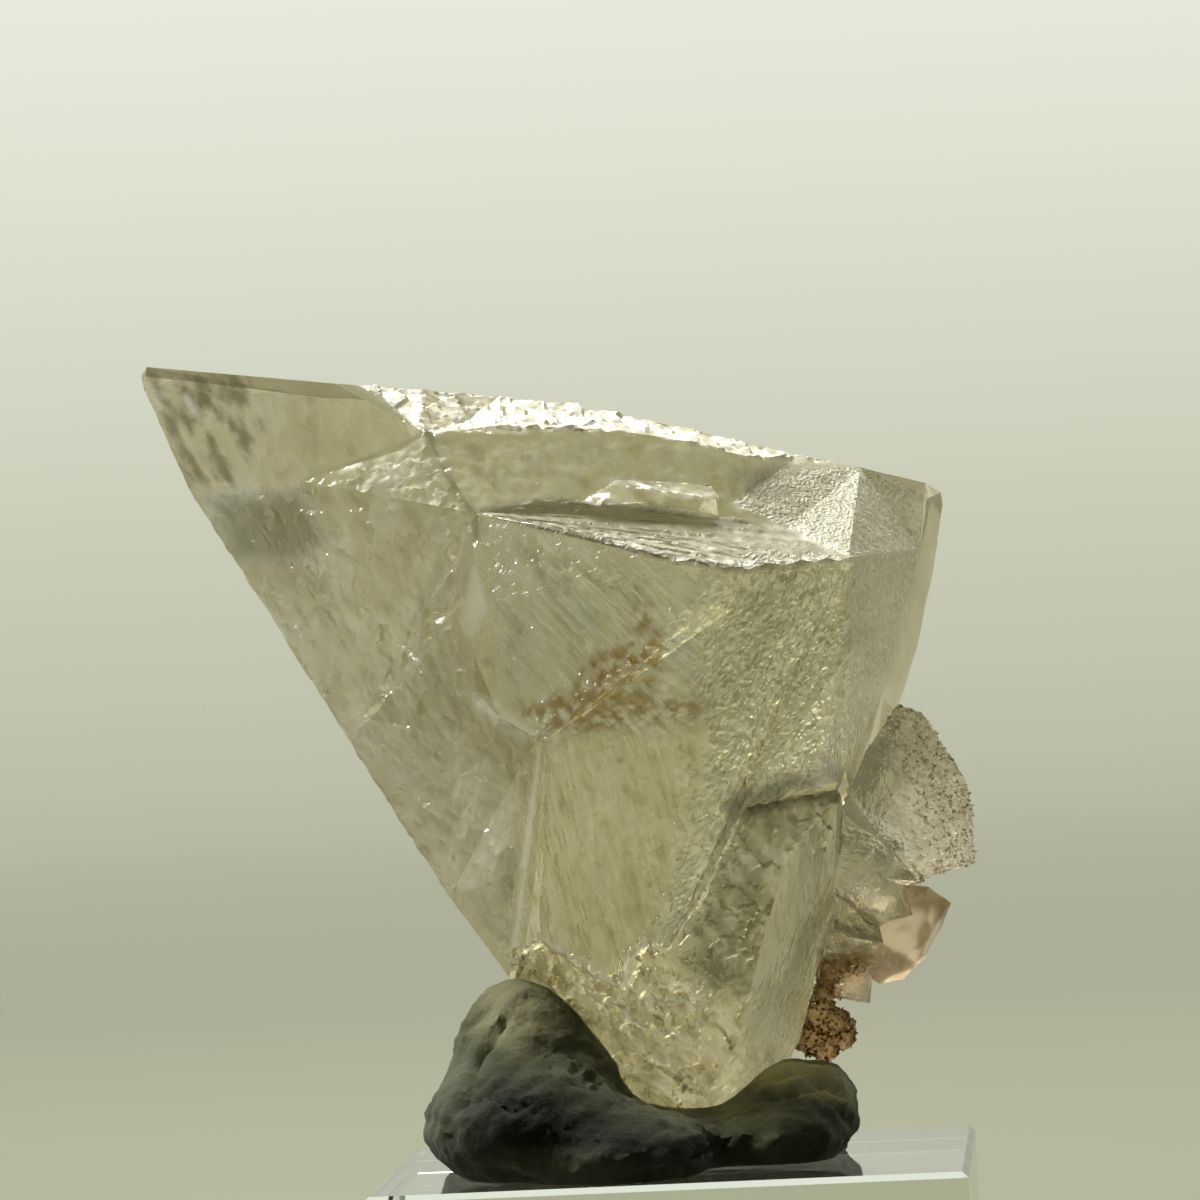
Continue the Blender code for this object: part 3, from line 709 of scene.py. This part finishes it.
dull = sum(share * skin.inside(outline, soft) for share, outline, soft in
           [(0.4, LOWER_RIGHT, 40), (0.2, GLARE, 12), (0.15, FAN, 6), (0.4 * patchy, TIP_SHADE, 14)])
frost = strongest([(1, PITTED, 10), (1, RIM, 4), (1, FAN, 4), (0.45, LEFT_FACE, 14), (1, SPARKLING_PATCH, 10),
                   (0.4, UPPER_PLATE, 20), (0.25, FOOT, 8)], [(1, PLATE_CREASE, 20)])
# pale whitens the colour: white broken chips on the rim and shelf, paler patches on the left face and lens, and
# painted highlights along the bright strip, ridge, tooth, step, fan lip, ragged edge and ledge lines, with one
# painted glint near the tip.
pale = strongest([(0.6, LENS, 6), (0.85, STRIP, 5), (0.6, RIDGE, 8), (0.8, TOOTH, 6), (0.35, PALE_LEFT, 40),
                  (0.85 * ragged, RIM, 8), (0.35 * ragged, SHELF, 8)],
                 [(ragged, STEP_LINE, 12), (0.7 * ragged, FAN_LIP, 7), (0.5 * ragged, RAGGED_LINE, 9),
                  (0.9, LEDGE_LINE, 7), (1, SHORT_LINE, 6), (1, GLINT, 7)])
print("frosted share of the skin:", round(float((frost > 0.5).mean()), 3))

# %% Store the marks
crystal_marks = {
    "stain": stain,
    "clear": strongest([(1, WINDOW, 3), (0.5, PANEL, 20)]),
    "frost": np.maximum(frost, 0.8 * grained),
    "behind": 1 - skin.front,
    "shade": shade,
    "cloud": 0.5 + 0.7 * bumps(skin.mm, 6.0, 14, 3),
    "dull": np.maximum(np.minimum(heel * 1.5, 0.9), dull),
    "pale": pale,
    "hackle": np.maximum(0.3 * (1 - skin.front), strongest([
        (0.5, LEFT_FACE, 14), (1, CRESCENTS, 20), (1, FOOT, 8), (1, LOWER_RIGHT, 8), (1, RIM, 8),
        (0.4, SHELF, 8), (0.5, UPPER_PLATE, 14), (0.4, PANEL, 10), (0.35, LOWER_BAND, 8), (0.8, RIPPLES, 20)])),
    "grains": np.maximum(grained, strongest([(0.7, PITTED, 8), (0.3, FAN, 6)])),
    "upper": skin.inside(UPPER_PLATE, 20),
    "streaks": strongest([(1, UPPER_PLATE, 20), (1, PANEL, 12), (0.6, LOWER_BAND, 8)]),
    "veil": strongest([(1, veil, 24) for veil in VEILS]
                      + [(1, LEFT_SHADE, 26), (0.35, PITTED, 12), (0.35, UPPER_PLATE, 20),
                         (0.35, GRANULAR, 20)])}
for mark, values in crystal_marks.items():
    store(crystal.data, mark, values)
print(len(crystal_marks), "marks stored:", ", ".join(crystal_marks))

# %% [markdown]
# Calcite
#
# Calcite has an index of refraction of about 1.6 across its grain and 1.49 along it, and the two
# are far enough apart to double what is seen through it. One value of 1.6 stands for both. The
# straw tint is in the body, so it is absorption in the volume: thin edges stay pale and thick parts
# go olive. The haze comes from etched faces and fine cracks, and shows as a little diffuse light.
# Broken faces show flakes side by side like scales, each with its own tone and slope. One cell
# texture draws them, wide on the hackle and fine on the granular face. The same texture raises the
# bumps and lightens the colour where they stand high, which is painted light and shade of the relief.

# %% Calcite texture
HACKLE_LEAN = 0.5
HACKLE_SIZE = 1.1
GRAIN_LEAN = -0.4
GRAIN_SIZE = 0.35
PANEL_LEAN = 0.2
UPPER_LEAN = 0.75
STEP_SIZE = 0.8
WARP_SIZE = 1.6
WARP_REACH = 1.4 * MM


def stretched(tree, place, lean, ratio):
    """Coordinates that draw a texture out along a line leaning in the picture's plane."""
    turn = add(tree, "CombineXYZ", {"Y": lean})
    turned = add(tree, "Mapping", {"Vector": place, "Rotation": turn})
    return add(tree, "Mapping", {"Vector": turned, "Scale": (1, 1, 1 / ratio)})


def textured(tree, share, pattern, strength):
    """A pattern about zero, as strong as its region's share."""
    centred = add(tree, "Math", (pattern, 0.5), operation="SUBTRACT")
    strong = add(tree, "Math", (centred, strength), operation="MULTIPLY")
    return add(tree, "Math", (strong, share), operation="MULTIPLY")


def flakes(tree, vector, scale):
    """Crisp flakes: each has its own tone and slopes away from its middle."""
    cells = add(tree, "TexVoronoi", {"Vector": vector, "Scale": scale})
    tone = add(tree, "SeparateColor", {"Color": cells.outputs["Color"]})
    tone = add(tree, "Math", (tone, 0.55), operation="MULTIPLY")
    slope = add(tree, "Math", (cells.outputs["Distance"], 0.5), operation="MULTIPLY")
    return add(tree, "Math", (tone, slope))


def calcite_texture(tree, place, marks):
    """Flakes on broken and etched faces, and long steps on the growth faces."""
    warp = add(tree, "TexNoise", {"Vector": place, "Scale": 1 / (WARP_SIZE * MM), "Detail": 1.0})
    warp = add(tree, "VectorMath", (warp.outputs["Color"], (WARP_REACH,) * 3), operation="MULTIPLY")
    warped = add(tree, "VectorMath", (place, warp))
    grainy = add(tree, "Math", (marks["grains"], 0.3), operation="GREATER_THAN")
    lean = add(tree, "MapRange", {"Value": grainy, "To Min": HACKLE_LEAN, "To Max": GRAIN_LEAN})
    size = add(tree, "MapRange", {"Value": grainy, "To Min": HACKLE_SIZE, "To Max": GRAIN_SIZE})
    scale = add(tree, "Math", (1 / MM, size), operation="DIVIDE")
    chips = flakes(tree, stretched(tree, warped, lean, 2.0), scale)
    upper = add(tree, "Math", (marks["upper"], 0.5), operation="GREATER_THAN")
    step_lean = add(tree, "MapRange", {"Value": upper, "To Min": PANEL_LEAN, "To Max": UPPER_LEAN})
    steps = add(tree, "TexNoise", grain(stretched(tree, place, step_lean, 9.0), STEP_SIZE, 2.0, 0.6))
    broken_share = add(tree, "Math", (marks["hackle"], marks["grains"]), operation="MAXIMUM")
    return add(tree, "Math", (textured(tree, broken_share, chips, 1.5),
                              textured(tree, marks["streaks"], steps, 1.6)))


print("flakes", HACKLE_SIZE, "mm wide on the hackle and", GRAIN_SIZE, "mm on the granular face")

# %% Calcite finish
STRAW_STOPS = [(0.0, "#a39b74"), (0.5, "#e8e1c0"), (1.0, "#fffdf0")]


def calcite_base(tree, texture, marks):
    """Straw colour lit and shaded by the texture as painted relief shading, under the blue veil, the olive
    darkening and painted shade, the ochre stain, and white chips with painted highlights.
    """
    cloudy = add(tree, "Math", (marks["cloud"], 0.5), operation="SUBTRACT")
    cloudy = add(tree, "Math", (cloudy, 0.5), operation="MULTIPLY")
    value = add(tree, "Math", (texture, cloudy))
    value = add(tree, "Math", (value, 0.55))
    base = set_stops(add(tree, "ValToRGB", [value]), STRAW_STOPS)
    # The olive layer is darker tone and painted shade; the white layer is broken chips and painted highlights
    # on edges, facets and a glint.
    return layered(tree, base, [(marks["veil"], colour("#ccd6d6")), (marks["shade"], colour("#817f62")),
                                (marks["stain"], colour("#8c7032")), (marks["pale"], colour("#fffffa"))])


def calcite_clearness(tree, marks):
    """How much light goes through: most at the window and the back, less where frosted, pale or dull."""
    clearness = add(tree, "MapRange", {"Value": marks["frost"], "To Min": 0.84, "To Max": 0.6})
    paled = add(tree, "Math", (marks["pale"], 0.3), operation="MULTIPLY")
    clearness = add(tree, "Math", (clearness, paled), operation="SUBTRACT")
    unseen = add(tree, "Math", (marks["behind"], 0.94), operation="MULTIPLY")
    polished = add(tree, "Math", (marks["clear"], unseen), operation="MAXIMUM")
    clearness = add(tree, "Math", (clearness, polished), operation="MAXIMUM")
    dulled = add(tree, "Math", (marks["dull"], 0.8), operation="MULTIPLY")
    dulled = add(tree, "Math", (1.0, dulled), operation="SUBTRACT")
    return add(tree, "Math", (clearness, dulled), operation="MULTIPLY")


def calcite_roughness(tree, marks):
    """Satin on the faces, frosted where etched, polished at the window."""
    rough = add(tree, "MapRange", {"Value": marks["frost"], "To Min": 0.16, "To Max": 0.42})
    rougher = add(tree, "Math", (marks["behind"], 0.4), operation="MULTIPLY")
    rough = add(tree, "Math", (rough, rougher))
    unpolished = add(tree, "Math", (1.02, marks["clear"]), operation="SUBTRACT")
    rough = add(tree, "Math", (rough, unpolished), operation="MULTIPLY")
    dulled = add(tree, "Math", (marks["dull"], 0.4), operation="MULTIPLY")
    return add(tree, "Math", (rough, dulled))


def calcite():
    """Etched cleavage faces: satin, with a straw tint where it is thick and a soft glow from inside."""
    made, tree, place, marks = start_material(
        "pale calcite, etched", {"IOR": 1.6, "Metallic": 0.0}, crystal_marks)
    texture = calcite_texture(tree, place, marks)
    relief = add(tree, "Bump", {"Height": texture, "Distance": 0.25 * MM})
    links = {"Base Color": calcite_base(tree, texture, marks),
             "Transmission Weight": calcite_clearness(tree, marks),
             "Roughness": calcite_roughness(tree, marks), "Normal": relief}
    return end_material(made, links, ("#dad18e", 22.0))


finish_piece(crystal, "calcite_crystal", calcite(), 20)

# %% [markdown]
# Amethyst and quartz
#
# The group at the right is quartz: a short stout amethyst, clear points under it, and brown knobs
# of fine quartz. Violet and brown are in the stone, so the finish mixes its colours by place.

# %% Amethyst group
QUARTZ_VIOLET = [(845, 700), (980, 700), (985, 870), (900, 880), (880, 820), (840, 790)]
KNOB_OUTLINE = [(780, 985), (806, 962), (866, 950), (872, 966), (842, 985), (850, 1004), (872, 1010),
                (872, 1075), (780, 1075)]
# Painted highlights: facets and ridge lines that catch the light are painted near white.
HIGHLIGHT_FACETS = [[(855, 892), (893, 885), (880, 905)], [(825, 900), (850, 905), (830, 930)],
                [(848, 925), (888, 930), (848, 950)], [(895, 875), (905, 880), (903, 896), (894, 894)]]
HIGHLIGHT_RIDGES = [[(845, 785), (862, 812), (880, 818), (908, 852)], [(845, 850), (893, 875)]]
DRUSY_RIM = [(878, 695), (925, 705), (990, 780), (990, 880), (900, 885), (918, 850), (915, 800), (890, 750)]

# Heights in millimetres above the block's underside: the amethyst is above one, the knobs below the other.
AMETHYST_ABOVE = 41
KNOBS_BELOW = 32
CLUSTER_EDGE = 0.45

cluster = fine_copy("amethyst_cluster", "amethyst_group", lambda places: CLUSTER_EDGE)
group = Points(cluster.data)
cluster_relief = 0.05 * bumps(group.mm, 1.5, 21, 3)
cluster_relief += group.inside(DRUSY_RIM, 12) * 0.35 * broken(group.mm, 1.1, 22)
cluster_relief += group.inside(KNOB_OUTLINE, 10) * 0.3 * broken(group.mm, 0.9, 23)
displace(cluster.data, group, cluster_relief)
back = 1 - group.front
high = group.mm[:, 2] > AMETHYST_ABOVE
low = group.mm[:, 2] < KNOBS_BELOW
store(cluster.data, "violet", group.inside(QUARTZ_VIOLET, 14) + back * high)
store(cluster.data, "brown", group.inside(KNOB_OUTLINE, 14) + back * low)
crusted_back = 0.3 * back * (high | low)
store(cluster.data, "druse", np.maximum.reduce([group.inside(DRUSY_RIM, 14), group.inside(KNOB_OUTLINE, 10),
                                                crusted_back]))
painted_highlight_marks = [group.inside(facet, 5) for facet in HIGHLIGHT_FACETS]
painted_highlight_marks += [group.near(ridge, 5) for ridge in HIGHLIGHT_RIDGES]
store(cluster.data, "light", np.maximum.reduce(painted_highlight_marks))


def amethyst():
    """Glassy quartz: clear and glossy, smoky violet above, brown in the knobs, painted highlights on bright
    facets.
    """
    made, tree, place, marks = start_material(
        "amethyst and quartz", {"IOR": 1.544, "Metallic": 0.0}, ("violet", "brown", "light"))
    tones = add(tree, "Math", (add(tree, "TexNoise", grain(place, 1.6)), 3.0, -1.0),
                operation="MULTIPLY_ADD")
    smoky = layered(tree, colour("#f0e8d2"), [(tones, colour("#bfb49a"))])
    # The light layer is painted highlight on the bright facets and ridges.
    base = layered(tree, colour("#fbf8ee"), [(tones, colour("#d8d0b8")), (marks["violet"], smoky),
                                             (marks["brown"], colour("#b09064")),
                                             (marks["light"], colour("#fffdf4"))])
    clearness = add(tree, "MapRange", {"Value": marks["light"], "To Min": 0.94, "To Max": 0.85})
    rough = add(tree, "MapRange", {"Value": add(tree, "TexNoise", grain(place, 1.0)),
                                   "To Min": 0.04, "To Max": 0.16})
    fine = add(tree, "Bump", {"Height": add(tree, "TexNoise", grain(place, 0.8, 4.0)),
                              "Distance": 0.35 * MM})
    links = {"Base Color": base, "Transmission Weight": clearness, "Roughness": rough, "Normal": fine}
    return end_material(made, links, ("#d0cc9c", 22.0))


finish_piece(cluster, "amethyst_cluster", amethyst(), 25)

# %% [markdown]
# Druse
#
# The outer side of the amethyst and the brown knobs are crusted with tiny quartz points, which
# catch the light one by one. Geometry Nodes scatter one six-sided point over the crusted skin, each
# one turned to the surface and sized at random.


# %% Druse
def druse_tree():
    """Scatters six-sided quartz points where the skin's druse value is high."""
    tree = bpy.data.node_groups.new("quartz druse", "GeometryNodeTree")
    for name, kind in (("Skin", "Geometry"), ("Points per mm2", "Float"), ("Width", "Float"),
                       ("Height", "Float"), ("Seed", "Int"), ("Finish", "Material")):
        tree.interface.new_socket(name, in_out="INPUT", socket_type="NodeSocket" + kind)
    tree.interface.new_socket("Druse", in_out="OUTPUT", socket_type="NodeSocketGeometry")
    given = tree.nodes.new("NodeGroupInput").outputs
    crusted = add(tree, "GeometryNodeInputNamedAttribute", {"Name": "druse"}, data_type="FLOAT")
    per_square_metre = add(tree, "Math", (given["Points per mm2"], 1 / (MM * MM)), operation="MULTIPLY")
    density = add(tree, "Math", (crusted, per_square_metre), operation="MULTIPLY")
    spread = add(tree, "GeometryNodeDistributePointsOnFaces",
                 {"Mesh": given["Skin"], "Density": density, "Seed": given["Seed"]})
    top, bottom, depth = [add(tree, "Math", (given[size], share * MM), operation="MULTIPLY")
                          for size, share in (("Width", 0.1), ("Width", 0.5), ("Height", 1.0))]
    cone = add(tree, "GeometryNodeMeshCone", {"Vertices": 6, "Radius Top": top, "Radius Bottom": bottom,
                                              "Depth": depth})
    scale = add(tree, "FunctionNodeRandomValue", {"Min": 0.5, "Max": 1.3, "Seed": given["Seed"]},
                data_type="FLOAT")
    placed = add(tree, "GeometryNodeInstanceOnPoints", {"Points": spread, "Instance": cone,
                                                       "Rotation": spread.outputs["Rotation"]})
    for socket in scale.outputs:
        if socket.enabled:
            tree.links.new(socket, placed.inputs["Scale"])
    whole = add(tree, "GeometryNodeRealizeInstances", {"Geometry": placed})
    dressed = add(tree, "GeometryNodeSetMaterial", {"Geometry": whole, "Material": given["Finish"]})
    tree.links.new(dressed.outputs[0], tree.nodes.new("NodeGroupOutput").inputs["Druse"])
    return tree


def grown(name, skin_object, tree, values):
    """A plain mesh of what a Geometry Nodes tree makes on a skin."""
    source = bpy.data.objects.new(name, skin_object.data.copy())
    bpy.context.scene.collection.objects.link(source)
    modifier = source.modifiers.new(name, "NODES")
    modifier.node_group = tree
    for item in tree.interface.items_tree:
        if item.in_out == "INPUT" and item.name in values:
            modifier[item.identifier] = values[item.name]
    evaluated = source.evaluated_get(bpy.context.evaluated_depsgraph_get())
    mesh = bpy.data.meshes.new_from_object(evaluated)
    source.modifiers.clear()
    source.data = mesh
    mesh.name = name
    return source


def crust_finish():
    """Milky little points, hardly see-through, brown where the knobs are."""
    made, tree, place, marks = start_material(
        "quartz druse", {"IOR": 1.2, "Metallic": 0.0, "Roughness": 0.2, "Transmission Weight": 0.8}, ("brown",))
    base = layered(tree, colour("#fff8e6"), [(marks["brown"], colour("#a68452"))])
    return end_material(made, {"Base Color": base})


druse = grown("quartz_druse", cluster, druse_tree(),
              {"Points per mm2": 3.0, "Width": 0.3, "Height": 0.26, "Seed": 4, "Finish": crust_finish()})
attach(druse, "root")
print("druse", len(druse.data.polygons), "faces")

# %% [markdown]
# The peach-coloured piece
#
# A half-clear, peach-tinted crystal leans behind the quartz. It may be calcite tinted by iron. Its
# tint is strong in the body and a little uneven at the surface, and its faces are softly chipped,
# so it is one refined solid with low chips and a body tint of its own.

# %% Peach-coloured piece
PEACH_EDGE = 0.5

peach = fine_copy("peach_crystal", "peach_piece", lambda places: PEACH_EDGE)
peach_points = Points(peach.data)
peach_relief = 0.12 * broken(peach_points.mm, 1.8, 31) + 0.02 * bumps(peach_points.mm, 0.9, 32)
displace(peach.data, peach_points, peach_relief)


def peach_finish():
    """Softly etched: a waxy gloss, and a warm tint from inside."""
    made, tree, place, marks = start_material(
        "peach-tinted crystal", {"IOR": 1.6, "Metallic": 0.0, "Roughness": 0.32, "Transmission Weight": 0.8})
    uneven = add(tree, "TexNoise", grain(place, 2.5))
    base = layered(tree, colour("#faf2da"), [(uneven, colour("#f0d4aa"))])
    return end_material(made, {"Base Color": base}, ("#f0dcb4", 50.0))


finish_piece(peach, "peach_crystal", peach_finish())

# %% [markdown]
# Putty
#
# Mineral putty is a soft wax-like mass. It was pressed up around the point with a finger, which
# leaves lobes, a few deep creases and fine drag lines. It has to meet the crystal and the block,
# so its inner wall and its foot are moved across the small gap that the solids keep.

# %% Putty
CREASES = [[(505, 1020), (480, 1060), (455, 1112)], [(462, 1100), (492, 1092), (508, 1110)],
           [(640, 1180), (690, 1160), (730, 1140)],
           [(755, 1085), (800, 1070), (845, 1095)], [(770, 1100), (815, 1085), (850, 1120)]]
CREASE_DEPTH = 0.8
# Painted light: the upper lobes are painted paler, as if lit from above.
LIT_TOPS = [[(745, 1078), (800, 1052), (850, 1072), (862, 1105), (800, 1092)],
         [(480, 990), (515, 975), (548, 1000), (562, 1042), (520, 1055), (478, 1035)]]
# Painted shade: the front, away from the lights, is painted nearly black, darkest within the inner outline.
SHADED_FRONT = [(436, 1110), (500, 1062), (560, 1090), (640, 1122), (720, 1140), (690, 1160), (560, 1160),
         (440, 1165)]
DEEP_SHADED_FRONT = [(470, 1100), (510, 1075), (560, 1090), (640, 1122), (720, 1140), (690, 1160), (600, 1165),
              (500, 1150)]
# Millimetres: edge length, reach of the inner wall, how far it and the foot move over the gaps.
PUTTY_EDGE = 0.8
TOUCH_REACH = 1.6
WALL_STEP = 0.2
FOOT_HEIGHT = 0.6
FOOT_STEP = 0.28

putty = fine_copy("mineral_putty", "putty", lambda places: PUTTY_EDGE)
lump = Points(putty.data)
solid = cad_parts["calcite_crystal"].data
crystal_tree = BVHTree.FromPolygons([vertex.co for vertex in solid.vertices],
                                    [polygon.vertices for polygon in solid.polygons])
touch = np.zeros(len(lump.mm))
for index, place in enumerate(lump.mm):
    found = crystal_tree.find_nearest(Vector(place) * MM, 2 * MM)
    if found[0] is not None:
        touch[index] = np.clip(TOUCH_REACH - found[3] / MM, 0, 1)
folds = bumps(lump.mm, 5.0, 41, 2)
drag = ridged(bumps(lump.mm @ np.array(Matrix.Rotation(0.6, 3, "Y")).T, (7.0, 7.0, 0.9), 42, 3))
putty_relief = 0.4 * (ridged(folds) - 0.6) + 0.25 * drag + 0.06 * bumps(lump.mm, 1.2, 43, 3)
for crease in CREASES:
    putty_relief -= CREASE_DEPTH * lump.near(crease, 9) ** 2
bottom = lump.mm[:, 2] < block_top / MM + FOOT_HEIGHT
putty_relief = putty_relief * (1 - touch) * ~bottom + WALL_STEP * touch * ~bottom
displace(putty.data, lump, putty_relief)
# The front is painted nearly black as painted shade.
store(putty.data, "painted_shade", 0.65 * lump.inside(SHADED_FRONT, 40) + 0.35 * lump.inside(DEEP_SHADED_FRONT, 30))
# The upper lobes are painted paler as painted light.
store(putty.data, "painted_light", np.maximum(1.3 * lump.inside(LIT_TOPS[0], 22), 0.55 * lump.inside(LIT_TOPS[1], 22)))
settled = np.array([vertex.co for vertex in putty.data.vertices])
settled[bottom, 2] -= FOOT_STEP * MM
putty.data.vertices.foreach_set("co", settled.ravel())
putty.data.update()


def putty_finish():
    """A wax-like surface that is nearly matte, with painted light on its upper lobes and painted shade on its
    front.
    """
    made, tree, place, marks = start_material(
        "kneaded mineral putty", {"IOR": 1.48, "Metallic": 0.0, "Sheen Weight": 0.1, "Sheen Roughness": 0.5,
                                  "Specular IOR Level": 0.2}, ("painted_light", "painted_shade"))
    mottled = add(tree, "TexNoise", grain(place, 4.0, 5.0))
    painted_light = add(tree, "Math", (marks["painted_light"], 0.85), operation="MULTIPLY")
    # Painted light on the upper lobes and painted shade on the front, over the mottled putty colour.
    base = layered(tree, colour("#383c29"), [(mottled, colour("#585c42")), (painted_light, colour("#aaa884")),
                                             (marks["painted_shade"], colour("#0c0d07"))])
    rough = add(tree, "MapRange", {"Value": add(tree, "TexNoise", grain(place, 1.5)),
                                   "To Min": 0.65, "To Max": 0.85})
    fine = add(tree, "Bump", {"Height": add(tree, "TexNoise", grain(place, 0.5, 6.0)),
                              "Distance": 0.16 * MM})
    return end_material(made, {"Base Color": base, "Roughness": rough, "Normal": fine})


finish_piece(putty, "mineral_putty", putty_finish(), 60)


# %% [markdown]
# The display block
#
# Cast acrylic, flame polished, with small bright bevels. The solid already has its true shape, so
# it stays, and only its finish is new: clear, with faint handling marks that change the gloss.

# %% Acrylic finish
def acrylic():
    """Flame-polished and clear: mirror-like, a little dulled where it was handled."""
    made, tree, place, marks = start_material(
        "clear cast acrylic", {"IOR": 1.49, "Metallic": 0.0, "Transmission Weight": 1.0,
                               "Base Color": colour("#f1f5ee")})
    handled = add(tree, "TexNoise", grain(place, 6.0, 5.0))
    rubbed = add(tree, "MapRange", {"Value": handled, "From Min": 0.45, "From Max": 0.8,
                                    "To Min": 0.01, "To Max": 0.10})
    return end_material(made, {"Roughness": rubbed}, ("#e8f0e6", 5.0))


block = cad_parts["acrylic_block"]
block.data.materials.clear()
block.data.materials.append(acrylic())
for polygon in block.data.polygons:
    polygon.material_index = 0
print("block", [round(side / MM, 1) for side in block_high - block_low], "mm")

# %% [markdown]
# Sizes
#
# The relief moved points outwards as well as inwards, so the box round everything is measured
# again and written beside the solids' box.

# %% Sizes
new_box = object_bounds()
for corner, new, old in zip(("low", "high"), new_box, cad_box):
    print(corner, "corner moved by", [round((a - b) / MM, 2) for a, b in zip(new, old)], "mm")
